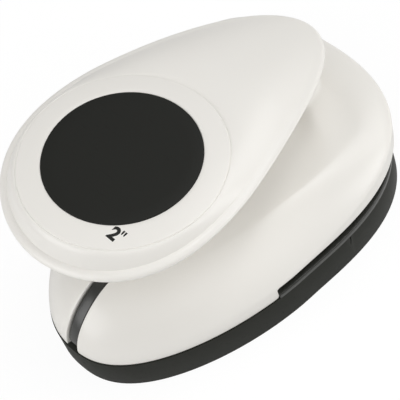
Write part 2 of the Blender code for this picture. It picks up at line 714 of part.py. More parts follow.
def bridge_side(x_sign):
    # One half of the bridge seen along Y: flat over the punch, then raised over the spring.
    low, high = BRIDGE_BOTTOM, BRIDGE_TOP
    return [
        (x_sign * BRIDGE_BEND_START_X, low),
        (x_sign * BRIDGE_BEND_END_X, low + BRIDGE_RISE),
        (x_sign * GUIDE_HALF_WIDTH, low + BRIDGE_RISE),
        (x_sign * GUIDE_HALF_WIDTH, high + BRIDGE_RISE),
        (x_sign * BRIDGE_BEND_END_X, high + BRIDGE_RISE),
        (x_sign * BRIDGE_BEND_START_X, high),
    ]


def make_bridge(slide):
    outline = bridge_side(1) + bridge_side(-1)[::-1]
    along_y = Matrix(((1, 0, 0, 0), (0, 0, -1, CUT_CENTRE_Y), (0, 1, 0, 0), (0, 0, 0, 1)))
    strip = flat_solid(outline, 2 * BRIDGE_HALF_WIDTH, along_y)
    bridge = piece("lift_bridge", strip, frame_steel, slide)
    for end in (-1, 1):
        for side in (-1, 1):
            x = sorted((end * BRIDGE_BEND_START_X, end * (GUIDE_HALF_WIDTH + OVERRUN)))
            y = sorted((CUT_CENTRE_Y + side * BRIDGE_TAB_HALF_WIDTH,
                        CUT_CENTRE_Y + side * (BRIDGE_HALF_WIDTH + OVERRUN)))
            cut(bridge, f"bridge_corner_{end}_{side}", box((x[0], y[0], 0), (x[1], y[1], CREST_HEIGHT)))
    for side in (-1, 1):
        cut(bridge, f"bridge_hole_{side}", cylinder(
            SCREW_HOLE_RADIUS, 0, CREST_HEIGHT, 0, CUT_CENTRE_Y + side * FORK_SCREW_REACH, 12))
    return bridge


def make_fork(slide):
    half = FORK_BASE_HALF_LENGTH
    base = box((-FORK_HALF_WIDTH, CUT_CENTRE_Y - half, FORK_BOTTOM),
               (FORK_HALF_WIDTH, CUT_CENTRE_Y + half, FORK_BASE_TOP))
    fork = piece("drive_fork", base, pin_steel, slide)
    ear = [(CUT_CENTRE_Y + FORK_EAR_RADIUS * math.cos(a), DRIVE_PIN_Z + FORK_EAR_RADIUS * math.sin(a))
           for a in (math.pi * i / 8 for i in range(9))]
    foot = [(CUT_CENTRE_Y - FORK_EAR_RADIUS, FORK_BASE_TOP - SEAT_GAP),
            (CUT_CENTRE_Y + FORK_EAR_RADIUS, FORK_BASE_TOP - SEAT_GAP)]
    for side in (-1, 1):
        x = sorted((side * (FORK_HALF_WIDTH - FORK_EAR_THICKNESS), side * FORK_HALF_WIDTH))
        join(fork, f"fork_ear_{side}", side_solid(ear + foot, x[0], x[1]))
    cut(fork, "drive_pin_hole", cross_bar(PIN_HOLE_RADIUS, BODY_HALF_WIDTH, CUT_CENTRE_Y, DRIVE_PIN_Z))
    for i, side in enumerate((-1, 1)):
        y = CUT_CENTRE_Y + side * FORK_SCREW_REACH
        cut(fork, f"fork_hole_{side}", cylinder(SCREW_HOLE_RADIUS, 0, DRIVE_PIN_Z, 0, y, 12))
        screw(f"fork_screw_{i + 1}", FORK_SCREW_LENGTH, (0, y, FORK_BASE_TOP + SEAT_GAP / 2), slide)
    piece("drive_pin", cross_bar(
        PIN_RADIUS, FORK_HALF_WIDTH + DRIVE_PIN_HEAD, CUT_CENTRE_Y, DRIVE_PIN_Z), pin_steel, slide)
    return fork


def spring_points(bottom, top):
    # Close end turns, then an even climb, then close end turns again.
    rise = top - bottom - 2 * SPRING_WIRE_RADIUS
    total = SPRING_TURNS + 2 * SPRING_END_TURNS
    end_pitch = 2 * SPRING_WIRE_RADIUS + LEAST_COIL_GAP + SEAT_GAP / 2
    end_rise = SPRING_END_TURNS * end_pitch
    pitch = (rise - 2 * end_rise) / SPRING_TURNS
    points = []
    for i in range(round(total * SPRING_POINTS_PER_TURN) + 1):
        turn = i / SPRING_POINTS_PER_TURN
        middle = min(max(turn - SPRING_END_TURNS, 0), SPRING_TURNS)
        ends = turn - middle
        z = bottom + SPRING_WIRE_RADIUS + ends * end_pitch + middle * pitch
        angle = 2 * math.pi * turn
        points.append(Vector((SPRING_RADIUS * math.cos(angle), SPRING_RADIUS * math.sin(angle), z)))
    return points


def least_gap(points):
    steps = SPRING_POINTS_PER_TURN // 2
    far = [(a - b).length for i, a in enumerate(points) for b in points[i + steps:]]
    return min(far) - 2 * SPRING_WIRE_RADIUS


def make_springs():
    bottom = GUIDE_BOTTOM + SPRING_SEAT + SEAT_GAP
    points = spring_points(bottom, BRIDGE_BOTTOM + BRIDGE_RISE - SEAT_GAP)
    print(f"least gap between spring coils {least_gap(points) * 1000:.2f} mm")
    for side, name in ((-1, "return_spring_left"), (1, "return_spring_right")):
        spring = piece(name, tube(points, SPRING_WIRE_RADIUS), spring_steel)
        spring.location = (side * SPRING_X, CUT_CENTRE_Y, 0)


def collar_ring(grow):
    points = []
    for turn in turns_round(BODY_SIDES):
        across, along = superellipse(turn, COLLAR_POWER)
        points.append(Vector((
            (COLLAR_HALF_WIDTH + grow) * across,
            COLLAR_MIDDLE_Y + (COLLAR_HALF_LENGTH + grow) * along)))
    return points


def press_to_hinge(press, hinge, s):
    return blend(press, hinge, smooth_step(-1, 1, s))


def crest_height(s):
    return press_to_hinge(PRESS_CREST, CREST_HEIGHT, s)


def side_reach(s):
    return press_to_hinge(PRESS_REACH, HINGE_REACH, s)


def side_curve(s):
    return press_to_hinge(PRESS_CURVE_SHARE, HINGE_CURVE_SHARE, s)


def side_height(s, angle):
    shoulder = press_to_hinge(PRESS_SHOULDER, HINGE_SHOULDER, s)
    return blend(shoulder, crest_height(s), math.sin(angle) ** side_curve(s))


def housing_rings():
    # From the lower edge up the wall, over the crest, down the trough and up the collar.
    outer = body_outline(BASE_DRAFT + HOUSING_SET_IN, HOUSING_OVERHANG)
    slopes = [math.sin(turn) for turn in turns_round(BODY_SIDES)]
    rings = [at_height(outer, HOUSING_BOTTOM)]
    for step in range(FILLET_STEPS + 1):
        angle = math.pi / 2 * step / FILLET_STEPS
        ring = drawn_in(outer, [side_reach(s) * (1 - math.cos(angle) ** side_curve(s)) for s in slopes])
        rings.append([Vector((p.x, p.y, side_height(s, angle))) for p, s in zip(ring, slopes)])
    crest = rings[-1]
    foot = at_height(collar_ring(COLLAR_RIM + COLLAR_FOOT), 0)
    bottoms = []
    for high, low, s in zip(crest, foot, slopes):
        room = (high - low).to_2d().length
        deep = min(TROUGH_DEPTH, TROUGH_STEEPNESS_SHARE * room)
        bottoms.append(blend(high.z, CREST_HEIGHT - deep, smooth_step(*TROUGH_FADE_SHARES, s)))
    for step in range(1, TROUGH_STEPS + 1):
        share = step / TROUGH_STEPS
        ring = []
        for high, low, bottom in zip(crest, foot, bottoms):
            place = high.lerp(low, share)
            place.z = blend(high.z, bottom, smooth_step(0, 1, share ** TROUGH_CURVE_SHARE))
            ring.append(place)
        rings.append(ring)
    for share in (0.5, 1):
        ring = at_height(collar_ring(COLLAR_RIM + COLLAR_FOOT * (1 - share) ** COLLAR_CURVE_SHARE), 0)
        rings.append([Vector((p.x, p.y, blend(bottom, COLLAR_TOP - COLLAR_ROUND, share)))
                      for p, bottom in zip(ring, bottoms)])
    rings.append(at_height(collar_ring(COLLAR_RIM - COLLAR_ROUND), COLLAR_TOP))
    rings.append(at_height(collar_ring(0), COLLAR_TOP))
    return rings


def boss_top(x, y):
    # Half way into the wall above the outer side of a boss.
    outline = body_outline(BASE_DRAFT + HOUSING_SET_IN, HOUSING_OVERHANG)
    inset, turn = min(((Vector((x, y)) - p).length, turn)
                      for p, turn in zip(outline, turns_round(BODY_SIDES)))
    s = math.sin(turn)
    share = 1 - (inset - BOSS_RADIUS) / side_reach(s)
    return side_height(s, math.acos(share ** (1 / side_curve(s)))) - HOUSING_WALL / 2


def make_housing():
    housing = piece("top_housing", loft(housing_rings(), closed=False), shell_white)
    wall = housing.modifiers.new("wall", "SOLIDIFY")
    wall.thickness = HOUSING_WALL
    wall.offset = -1
    wide = 2 * BODY_HALF_LENGTH
    for i, (x, y) in enumerate(housing_screw_places()):
        join(housing, f"screw_boss_{i}", cylinder(
            BOSS_RADIUS, HOUSING_BOTTOM, boss_top(x, y), x, y))
        cut(housing, f"screw_bore_{i}", cylinder(
            SCREW_HOLE_RADIUS, 0, HEAD_RECESS + LONG_SCREW + OVERRUN, x, y, 12))
        screw(f"housing_screw_{i + 1}", LONG_SCREW, (x, y, HEAD_RECESS - SEAT_GAP), upside_down=True)
    cut(housing, "paper_mouth", box((-wide, MOUTH_START_Y, 0), (wide, wide, MOUTH_TOP)))
    cut(housing, "latch_slot", box(
        (-LATCH_SLOT_HALF_WIDTH, -wide, 0), (LATCH_SLOT_HALF_WIDTH, LATCH_SLOT_END_Y, wide)))
    return housing


def latch_path(depth):
    # The arc of the latch inside the housing's surface, then its level end, at a depth below it.
    reach = PRESS_REACH - depth
    rise = PRESS_CREST - PRESS_SHOULDER - depth
    points = []
    for step in range(LATCH_BEND_STEPS + 1):
        angle = blend(LATCH_START_ANGLE, math.pi / 2, step / LATCH_BEND_STEPS)
        along = reach * math.cos(angle) ** PRESS_CURVE_SHARE
        points.append((PRESS_MIDDLE_Y - along, PRESS_SHOULDER + rise * math.sin(angle) ** PRESS_CURVE_SHARE))
    return points


def make_latch(axis):
    outer = latch_path(LATCH_RECESS)
    inner = latch_path(LATCH_RECESS + LATCH_THICKNESS)
    top, under = outer[-1][1], inner[-1][1]
    lip_y = LATCH_END_Y - LATCH_LIP_THICKNESS
    end = [(LATCH_END_Y, top), (LATCH_END_Y, under - LATCH_LIP), (lip_y, under - LATCH_LIP), (lip_y, under)]
    strip = side_solid(outer + end + inner[::-1], -LATCH_HALF_WIDTH, LATCH_HALF_WIDTH)
    latch = piece("storage_latch", strip, latch_black, axis)
    join(latch, "latch_boss", cross_bar(
        LATCH_BOSS_RADIUS, LATCH_HALF_WIDTH - WELD, LATCH_PIN_Y, LATCH_PIN_Z, 16))
    cut(latch, "latch_bore", cross_bar(
        LATCH_PIN_RADIUS + PIN_CLEARANCE, BODY_HALF_WIDTH, LATCH_PIN_Y, LATCH_PIN_Z, 12))
    reach = LATCH_HALF_WIDTH + 2 * SEAT_GAP + LATCH_POST_THICKNESS + SEAT_GAP
    piece("latch_pin", cross_bar(LATCH_PIN_RADIUS, reach, LATCH_PIN_Y, LATCH_PIN_Z, 12), pin_steel)
    return latch


def lever_outline(inset=0.0):
    points = []
    for turn in turns_round(LEVER_SIDES):
        across, along = superellipse(turn, LEVER_POWER)
        s = math.sin(turn)
        swell = 1 + sum(share * s ** (power + 1) for power, share in enumerate(LEVER_TAPER_SHARES))
        points.append(Vector((LEVER_HALF_WIDTH * across * swell, LEVER_MIDDLE + LEVER_HALF_LENGTH * along)))
    return drawn_in(points, [inset] * len(points))


def edge_drop(y):
    return LEVER_EDGE_DROP + (y - LEVER_DROOP_START) ** 2 / (2 * LEVER_DROOP_RADIUS)


def below_edge(points, lower_by):
    return [Vector((p.x, p.y, -edge_drop(p.y) - lower_by)) for p in points]


def dome_rings(start, radius, drop):
    # From the lever's edge ring straight in to a circle round the disc, steep first and then level.
    rings = []
    for step in range(1, DOME_STEPS + 1):
        share = step / DOME_STEPS
        ring = []
        for low in start:
            edge = low.to_2d()
            place = edge.lerp(edge.normalized() * radius, share)
            ring.append(Vector((place.x, place.y, blend(low.z, -drop, math.sin(share * math.pi / 2)))))
        rings.append(ring)
    return rings


def make_lever_shell(axis):
    across, up = BEVEL_BREAK_SHARES
    rings = [
        below_edge(lever_outline(LEVER_SIDE_DRAFT), LEVER_SIDE_HEIGHT),
        below_edge(lever_outline(), 0),
        below_edge(lever_outline(LEVER_BEVEL * across), -LEVER_BEVEL_RISE * up),
        below_edge(lever_outline(LEVER_BEVEL), -LEVER_BEVEL_RISE),
    ]
    rings += dome_rings(rings[-1], PLATE_RADIUS + PLATE_LIP, PLATE_FOOT_DROP)
    lever = piece("lever_shell", loft(rings), shell_white, axis)
    lever.matrix_basis = LEVER_AXES
    inside = [
        below_edge(lever_outline(LEVER_WALL), LEVER_SIDE_HEIGHT + OVERRUN),
        below_edge(lever_outline(LEVER_WALL), SEAT_GAP),
    ]
    inside += dome_rings(inside[-1], LEVER_ROOF_RADIUS, LEVER_ROOF_DROP)
    cut(lever, "lever_inside", loft(inside)).matrix_basis = LEVER_AXES
    pocket = PLATE_EDGE_DROP + PLATE_THICKNESS + SEAT_GAP
    cut(lever, "plate_pocket", cylinder(
        PLATE_RADIUS + SEAT_GAP, -pocket, OVERRUN, 0, 0, ROUND_SIDES)).matrix_basis = LEVER_AXES
    boss_bottom = SEAT_GAP - ARM_FLANGE_DROP
    for i, (x, y) in enumerate(arm_screw_places()):
        join(lever, f"lever_boss_{i}", cylinder(
            BOSS_RADIUS, boss_bottom, -LEVER_BOSS_TOP_DROP, x, y)).matrix_basis = LEVER_AXES
        cut(lever, f"lever_screw_hole_{i}", cylinder(
            SCREW_HOLE_RADIUS, boss_bottom - OVERRUN, -LEVER_ROOF_DROP, x, y, 12)).matrix_basis = LEVER_AXES
    return lever


def make_size_plate(axis):
    disc_seat = DISC_CROWN + DISC_THICKNESS + SEAT_GAP
    recess = CUT_RADIUS + SEAT_GAP
    bottom = PLATE_EDGE_DROP + PLATE_THICKNESS
    profile = (
        (0, -disc_seat),
        (recess, -disc_seat),
        (recess, -PLATE_INNER_DROP),
        (PLATE_RADIUS - PLATE_EDGE, -PLATE_EDGE_DROP),
        (PLATE_RADIUS, -PLATE_EDGE_DROP - PLATE_EDGE),
        (PLATE_RADIUS, -bottom),
        (0, -bottom),
    )
    plate_obj = turned("size_plate", profile, ROUND_SIDES, shell_white, axis)
    plate_obj.matrix_basis = LEVER_AXES
    disc_profile = (
        (0, 0),
        (CUT_RADIUS - DISC_EDGE, -DISC_CROWN),
        (CUT_RADIUS, -DISC_CROWN - DISC_EDGE),
        (CUT_RADIUS, -DISC_CROWN - DISC_THICKNESS),
        (0, -DISC_CROWN - DISC_THICKNESS),
    )
    disc = turned("size_disc", disc_profile, ROUND_SIDES, disc_black, axis)
    disc.matrix_basis = LEVER_AXES


def arm_screw_places():
    return [place for y in (ARM_SCREW_FRONT, ARM_SCREW_BACK) for place in mirrored(ARM_SCREW_X, y)]


def from_lever(y, drop):
    place = LEVER_AXES @ Vector((0, y, -drop))
    return Vector((place.y, place.z))


def on_line(start, end, height):
    return start.lerp(end, (height - start.y) / (end.y - start.y))


def make_arm(axis):
    middle_drop = ARM_FLANGE_DROP + ARM_FLANGE_THICKNESS / 2
    back_top = from_lever(ARM_WEB_BACK, middle_drop)
    front_top = from_lever(ARM_FLANGE_FRONT - ARM_STEP, middle_drop)
    nose = from_lever(ARM_NOSE, ARM_NOSE_DROP)
    slot_y = CUT_CENTRE_Y + ARM_SLOT_OFFSET
    slot_reach = ARM_SLOT_LENGTH / 2 + ARM_SLOT_WALL
    slot_low = DRIVE_PIN_Z - PIN_RADIUS - ARM_SLOT_CLEARANCE - ARM_SLOT_WALL
    hinge = Vector((HINGE_Y, HINGE_Z))
    heel = hinge + ARM_BOSS_RADIUS * ARM_HEEL_SHARE * Vector((1, 1))
    back, up = ARM_NECK_SHARES
    toe = Vector((slot_y - slot_reach, slot_low + ARM_SLOT_WALL))
    web = [
        back_top,
        toe,
        Vector((slot_y - slot_reach, slot_low)),
        Vector((slot_y + slot_reach, slot_low)),
        Vector((slot_y + slot_reach + ARM_STEP, slot_low + ARM_STEP)),
        Vector((CUT_CENTRE_Y + FORK_BASE_HALF_LENGTH + ARM_STEP, slot_low + ARM_STEP)),
        hinge + ARM_BOSS_RADIUS * Vector((-back, up)),
        hinge,
        heel,
        nose,
        front_top,
    ]
    cheek = [
        back_top,
        on_line(back_top, toe, CHEEK_BOTTOM),
        on_line(nose, heel, CHEEK_BOTTOM),
        nose,
        front_top,
    ]
    cheek = drawn_in(cheek, [SEAT_GAP] * len(cheek))
    arm = piece("lever_arm", side_solid(web, -ARM_WEB_HALF_WIDTH, ARM_WEB_HALF_WIDTH), arm_white, axis)
    join(arm, "cheeks", side_solid(cheek, -ARM_CHEEK_HALF_WIDTH, ARM_CHEEK_HALF_WIDTH))
    join(arm, "arm_boss", cross_bar(ARM_BOSS_RADIUS, ARM_BOSS_HALF_WIDTH, HINGE_Y, HINGE_Z))
    join(arm, "arm_flange", plate(
        rounded_box(ARM_FLANGE_HALF_WIDTH, ARM_FLANGE_BACK, ARM_FLANGE_FRONT, BOSS_RADIUS),
        -ARM_FLANGE_DROP - ARM_FLANGE_THICKNESS, -ARM_FLANGE_DROP)).matrix_basis = LEVER_AXES
    cut(arm, "arm_bore", cross_bar(PIN_HOLE_RADIUS, BODY_HALF_WIDTH, HINGE_Y, HINGE_Z))
    cut(arm, "drive_slot", side_solid(
        slot_outline(slot_y, DRIVE_PIN_Z, ARM_SLOT_LENGTH, PIN_RADIUS + ARM_SLOT_CLEARANCE),
        -BODY_HALF_WIDTH, BODY_HALF_WIDTH))
    for i, (x, y) in enumerate(arm_screw_places()):
        cut(arm, f"arm_screw_hole_{i}", cylinder(
            SCREW_HOLE_RADIUS, -2 * ARM_FLANGE_DROP, 0, x, y, 12)).matrix_basis = LEVER_AXES
        under = -ARM_FLANGE_DROP - ARM_FLANGE_THICKNESS - SEAT_GAP / 2
        screw(f"arm_screw_{i + 1}", ARM_SCREW_LENGTH, (x, y, under), axis, LEVER_AXES, upside_down=True)
    return arm


def slot_outline(y, z, length, radius):
    points = []
    for end in (1, -1):
        middle = y + end * (length / 2 - radius)
        for step in range(7):
            angle = math.pi * step / 6 - math.pi / 2 * end
            points.append((middle + radius * math.cos(angle), z + radius * math.sin(angle)))
    return points


for old in list(bpy.data.objects):
    bpy.data.objects.remove(old, do_unlink=True)

parts = new_collection("circle_punch")
guides = new_collection("circle_punch_cutters")
base_black = material("base_black", (0.035, 0.036, 0.032), 0.45)
latch_black = material("latch_black", (0.030, 0.031, 0.029), 0.40)
disc_black = material("disc_black", (0.022, 0.023, 0.020), 0.50)
shell_white = material("shell_white", (0.80, 0.79, 0.76), 0.35)
arm_white = material("arm_white", (0.72, 0.71, 0.68), 0.45)
cutting_steel = material("cutting_steel", (0.60, 0.60, 0.60), 0.25, 1.0)
frame_steel = material("frame_steel", (0.42, 0.42, 0.43), 0.40, 1.0)
pin_steel = material("pin_steel", (0.55, 0.55, 0.56), 0.30, 1.0)
spring_steel = material("spring_steel", (0.50, 0.50, 0.52), 0.30, 1.0)
screw_steel = material("screw_steel", (0.45, 0.45, 0.46), 0.35, 1.0)

# The housing overhangs the base at the mouth, so everything shifts back to centre the whole.
stand = pivot("stand", (0, (BASE_DRAFT + HOUSING_SET_IN - HOUSING_OVERHANG) / 2, 0), None)
lever_axis = pivot("lever_axis", (0, HINGE_Y, HINGE_Z), stand)
punch_slide = pivot("punch_slide", (0, CUT_CENTRE_Y, PUNCH_FACE), stand)
latch_axis = pivot("latch_axis", (0, LATCH_PIN_Y, LATCH_PIN_Z), stand)

make_base_tray()
make_paper_deck()
make_die_plate()
make_guide_frame()
make_hinge_pin()
make_punch(punch_slide)
make_bridge(punch_slide)
make_fork(punch_slide)
make_springs()
make_housing()
make_latch(latch_axis)
make_lever_shell(lever_axis)
make_size_plate(lever_axis)
make_arm(lever_axis)
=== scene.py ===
import math

import bmesh
import bpy
from mathutils import Matrix, Vector


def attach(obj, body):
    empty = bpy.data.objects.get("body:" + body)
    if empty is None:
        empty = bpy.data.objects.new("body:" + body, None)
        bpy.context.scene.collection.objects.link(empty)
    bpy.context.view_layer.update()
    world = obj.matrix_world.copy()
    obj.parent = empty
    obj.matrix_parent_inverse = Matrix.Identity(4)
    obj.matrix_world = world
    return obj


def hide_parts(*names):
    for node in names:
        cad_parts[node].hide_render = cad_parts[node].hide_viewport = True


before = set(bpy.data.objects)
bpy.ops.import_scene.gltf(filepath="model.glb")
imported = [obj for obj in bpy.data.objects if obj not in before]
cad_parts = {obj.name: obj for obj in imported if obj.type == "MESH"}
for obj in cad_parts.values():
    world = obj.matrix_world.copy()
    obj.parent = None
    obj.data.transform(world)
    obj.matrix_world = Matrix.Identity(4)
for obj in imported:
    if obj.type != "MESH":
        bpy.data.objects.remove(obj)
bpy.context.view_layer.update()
print("circle punch: solids loaded")

# The shapes below are drawn about the middle of the base, then moved by this much.
onStand = Matrix.Translation((0, -0.0009, 0))
nearly = 0.0001  # lengths closer than this count as equal
outlineStep = 0.02  # turn either side of a place, between which an outline's direction is taken
circleSteps = 160
postSteps = 40
metalSmoothAngle = 25
alongX = Matrix(((0, 0, 1, 0), (1, 0, 0, 0), (0, 1, 0, 0), (0, 0, 0, 1)))  # turns a shape drawn along Z
# The die, the punch, the chute and the black disc are round about this circle.
cut = {
    "radius": 0.0254,
    "centre": 0.018,
    "clearance": 0.0001,
}


# Meshes

def superellipse(turn, power):
    across, along = math.cos(turn), math.sin(turn)
    return (math.copysign(abs(across) ** (2 / power), across),
            math.copysign(abs(along) ** (2 / power), along))


def blend(start, end, share):
    return start + (end - start) * share


def easeBetween(low, high, value):
    share = min(1, max(0, (value - low) / (high - low)))
    return share * share * (3 - 2 * share)


def turnsRound(count):
    return [2 * math.pi * i / count - math.pi / 2 for i in range(count)]


def quarterTurn(rows, first=0):
    return [math.pi / 2 * i / rows for i in range(first, rows + 1)]


def insetPoint(place, turn, inset):
    # A point of an outline, moved inwards at right angles to it.
    along = place(turn + outlineStep) - place(turn - outlineStep)
    return place(turn) + Vector((-along.y, along.x)).normalized() * inset


def solveTurn(read, target, low, high, halvings=40):
    # The turn between low and high at which a rising reading meets its target.
    for _ in range(halvings):
        middle = (low + high) / 2
        if read(middle) < target:
            low = middle
        else:
            high = middle
    return (low + high) / 2


def meshFrom(bm, outward=True):
    if outward:
        bmesh.ops.recalc_face_normals(bm, faces=bm.faces)
    mesh = bpy.data.meshes.new("shape")
    bm.to_mesh(mesh)
    bm.free()
    return mesh


def skin(rings, leaveOut=None, capFirst=False, capLast=False):
    # A mesh through closed rings of points. leaveOut(row, column) keeps a face away.
    bm = bmesh.new()
    rows = [[bm.verts.new(point) for point in ring] for ring in rings]
    count = len(rings[0])
    for row in range(len(rows) - 1):
        for column in range(count):
            if leaveOut and leaveOut(row, column):
                continue
            after = (column + 1) % count
            bm.faces.new((rows[row][column], rows[row][after],
                          rows[row + 1][after], rows[row + 1][column]))
    if capFirst:
        bm.faces.new(rows[0][::-1])
    if capLast:
        bm.faces.new(rows[-1])
    bmesh.ops.delete(bm, geom=[v for v in bm.verts if not v.link_faces], context="VERTS")
    return meshFrom(bm)


def solidSkin(rings):
    return skin(rings, capFirst=True, capLast=True)


def lathe(profile, steps):
    # Turns (radius, height) places about Z. Places on the axis close the shape.
    rings = [[(radius * math.cos(a), radius * math.sin(a), height) for a in turnsRound(steps)]
             for radius, height in profile]
    bm = bmesh.new()
    bm.from_mesh(skin(rings))
    bmesh.ops.remove_doubles(bm, verts=bm.verts, dist=nearly / 10)
    bmesh.ops.delete(bm, geom=[e for e in bm.edges if not e.link_faces], context="EDGES")
    return meshFrom(bm)


def post(radius, bottom, top, x=0, y=0, steps=postSteps):
    mesh = lathe([(0, bottom), (radius, bottom), (radius, top), (0, top)], steps)
    mesh.transform(Matrix.Translation((x, y, 0)))
    return mesh


def block(low, high):
    low, high = Vector(low), Vector(high)
    bm = bmesh.new()
    bmesh.ops.create_cube(bm, size=1)
    bmesh.ops.scale(bm, vec=high - low, verts=bm.verts)
    bmesh.ops.translate(bm, vec=(low + high) / 2, verts=bm.verts)
    return meshFrom(bm)


def flatShape(outline, low, high, place=Matrix.Identity(4)):
    # A flat outline given thickness from low to high, across its own plane, then moved.
    mesh = solidSkin([[(u, v, height) for u, v in outline] for height in (low, high)])
    mesh.transform(place)
    return mesh


def plainCopy(obj):
    # The result of an object's modifiers as a plain mesh. The object itself goes.
    bpy.context.view_layer.update()
    result = bpy.data.meshes.new_from_object(obj.evaluated_get(bpy.context.evaluated_depsgraph_get()))
    bpy.data.objects.remove(obj)
    return result


def linked(name, data):
    obj = bpy.data.objects.new(name, data)
    bpy.context.scene.collection.objects.link(obj)
    return obj


def shaped(mesh, *steps):
    # Runs modifiers on a mesh. A step is (kind, settings).
    obj = linked("work", mesh)
    for kind, settings in steps:
        modifier = obj.modifiers.new(kind.lower(), kind)
        for key, value in settings.items():
            setattr(modifier, key, value)
    return plainCopy(obj)


def combined(mesh, others, operation):
    helpers = [linked("helper", other) for other in others]
    result = shaped(mesh, *[("BOOLEAN", {"object": helper, "operation": operation, "solver": "EXACT"})
                            for helper in helpers])
    for helper in helpers:
        bpy.data.objects.remove(helper)
    return result


def grown(mesh, tree, inputs):
    # Runs a node tree on a mesh, with its inputs given by name.
    obj = linked("work", mesh)
    modifier = obj.modifiers.new("nodes", "NODES")
    modifier.node_group = tree
    for socket in tree.interface.items_tree:
        if socket.in_out == "INPUT" and socket.name in inputs:
            modifier[socket.identifier] = inputs[socket.name]
    return plainCopy(obj)


def softEdges(width, segments=3, angle=40):
    return ("BEVEL", {"width": width, "segments": segments, "limit_method": "ANGLE",
                      "angle_limit": math.radians(angle), "use_clamp_overlap": False})


def addPiece(name, mesh, finishName, body, stands=(), place=onStand, smoothAngle=38):
    # Puts a mesh in place as a finished piece that rides a body and hides the solids it stands for.
    mesh.transform(place)
    mesh.name = name
    mesh.materials.clear()
    mesh.materials.append(finish[finishName])
    mesh.shade_smooth()
    mesh.set_sharp_from_angle(angle=math.radians(smoothAngle))
    obj = linked(name, mesh)
    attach(obj, body)
    if stands:
        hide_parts(*stands)


# Materials

class Signal:
    # A socket's value, so that node maths is written as plain sums.
    def __init__(self, paint, socket):
        self.paint = paint
        self.socket = socket

    def maths(self, operation, first, second):
        return self.paint.node("ShaderNodeMath", {"operation": operation}, {0: first, 1: second})

    def __add__(self, other):
        return self.maths("ADD", self, other)

    def __mul__(self, other):
        return self.maths("MULTIPLY", self, other)

    def __gt__(self, other):
        return self.maths("GREATER_THAN", self, other)

    __radd__ = __add__
    __rmul__ = __mul__


class Paint:
    # A material and the one method that adds nodes to it.
    def __init__(self, name, colour, roughness, **fixed):
        self.material = bpy.data.materials.new(name)
        self.material.use_nodes = True
        self.tree = self.material.node_tree
        self.shader = self.tree.nodes["Principled BSDF"]
        self.set("Base Color", (*colour, 1))
        self.set("Roughness", roughness)
        for key, value in fixed.items():
            self.set(key.replace("_", " "), value)
        self.where = Signal(self, self.tree.nodes.new("ShaderNodeTexCoord").outputs["Object"])

    def set(self, key, value):
        socket = self.shader.inputs[key]
        if isinstance(value, Signal):
            self.tree.links.new(value.socket, socket)
        else:
            socket.default_value = value

    def node(self, kind, settings=None, values=None, output=0):
        made = self.tree.nodes.new(kind)
        for key, value in (settings or {}).items():
            setattr(made, key, value)
        for key, value in (values or {}).items():
            socket = made.inputs[key]
            if isinstance(value, Signal):
                self.tree.links.new(value.socket, socket)
            else:
                socket.default_value = value
        return Signal(self, made.outputs[output])

    def stretched(self, scale):
        return self.node("ShaderNodeMapping", None, {"Vector": self.where, "Scale": scale})

    def noise(self, scale, detail=3.0, where=None):
        return self.node("ShaderNodeTexNoise", None,
                         {"Vector": where or self.where, "Scale": scale, "Detail": detail})

    def mix(self, share, first, second):
        # A Mix node's colours are its sockets 6 and 7, and its colour result is output 2.
        return self.node("ShaderNodeMix", {"data_type": "RGBA"},
                         {"Factor": share, 6: (*first, 1), 7: (*second, 1)}, 2)

    def ramp(self, value, low, high):
        return self.node("ShaderNodeMapRange", None,
                         {"Value": value, "From Min": low, "From Max": high})

    def bump(self, height, distance, strength=1.0):
        self.set("Normal", self.node("ShaderNodeBump", None, {
            "Height": height, "Distance": distance, "Strength": strength}))


plasticLook = {
    "clouds": 28,
    "cloudRange": (0.3, 0.7),
    "cloudTint": 0.6,
    "cloudRoughness": 0.05,
    "scuffs": 190,
    "scuffStretch": (1, 7, 3),
    "scuffRange": (0.62, 0.74),
    "scuffTint": 0.25,
    "scuffRoughness": 0.10,
    "scuffHeight": 0.4,
    "smoothest": 0.04,
    "coatRoughness": 0.25,
    "bumpStrength": 0.6,
}


def mouldedPlastic(name, colour, shade, roughness, grain, grainDepth, coat=0.0, shine=0.5):
    # Moulded plastic: slow clouds of colour, a fine grain and a few faint hairline scuffs.
    look = plasticLook
    paint = Paint(name, colour, roughness, Coat_Weight=coat, Coat_Roughness=look["coatRoughness"],
                  Specular_IOR_Level=shine)
    clouds = paint.ramp(paint.noise(look["clouds"], 2.0), *look["cloudRange"])
    specks = paint.noise(grain, 2.0)
    scuffs = paint.noise(look["scuffs"], 4.0, paint.stretched(look["scuffStretch"]))
    worn = paint.ramp(scuffs, *look["scuffRange"])
    paint.set("Base Color", paint.mix(clouds * look["cloudTint"] + worn * look["scuffTint"], colour, shade))
    paint.set("Roughness", worn * look["scuffRoughness"] + clouds * look["cloudRoughness"]
              + (roughness - look["smoothest"]))
    paint.bump(specks + scuffs * look["scuffHeight"], grainDepth, look["bumpStrength"])
    return paint.material


steelLook = {
    "lines": 900,
    "lineRoughness": 0.16,
    "stains": 60,
    "tintRange": (0.35, 0.75),
    "stainRange": (0.4, 0.8),
    "stainRoughness": 0.08,
    "pits": 1500,
    "pitLevel": 0.68,
    "pitHeight": 0.5,
    "smoothest": 0.08,
    "bumpDepth": 0.00002,
    "bumpStrength": 0.5,
}


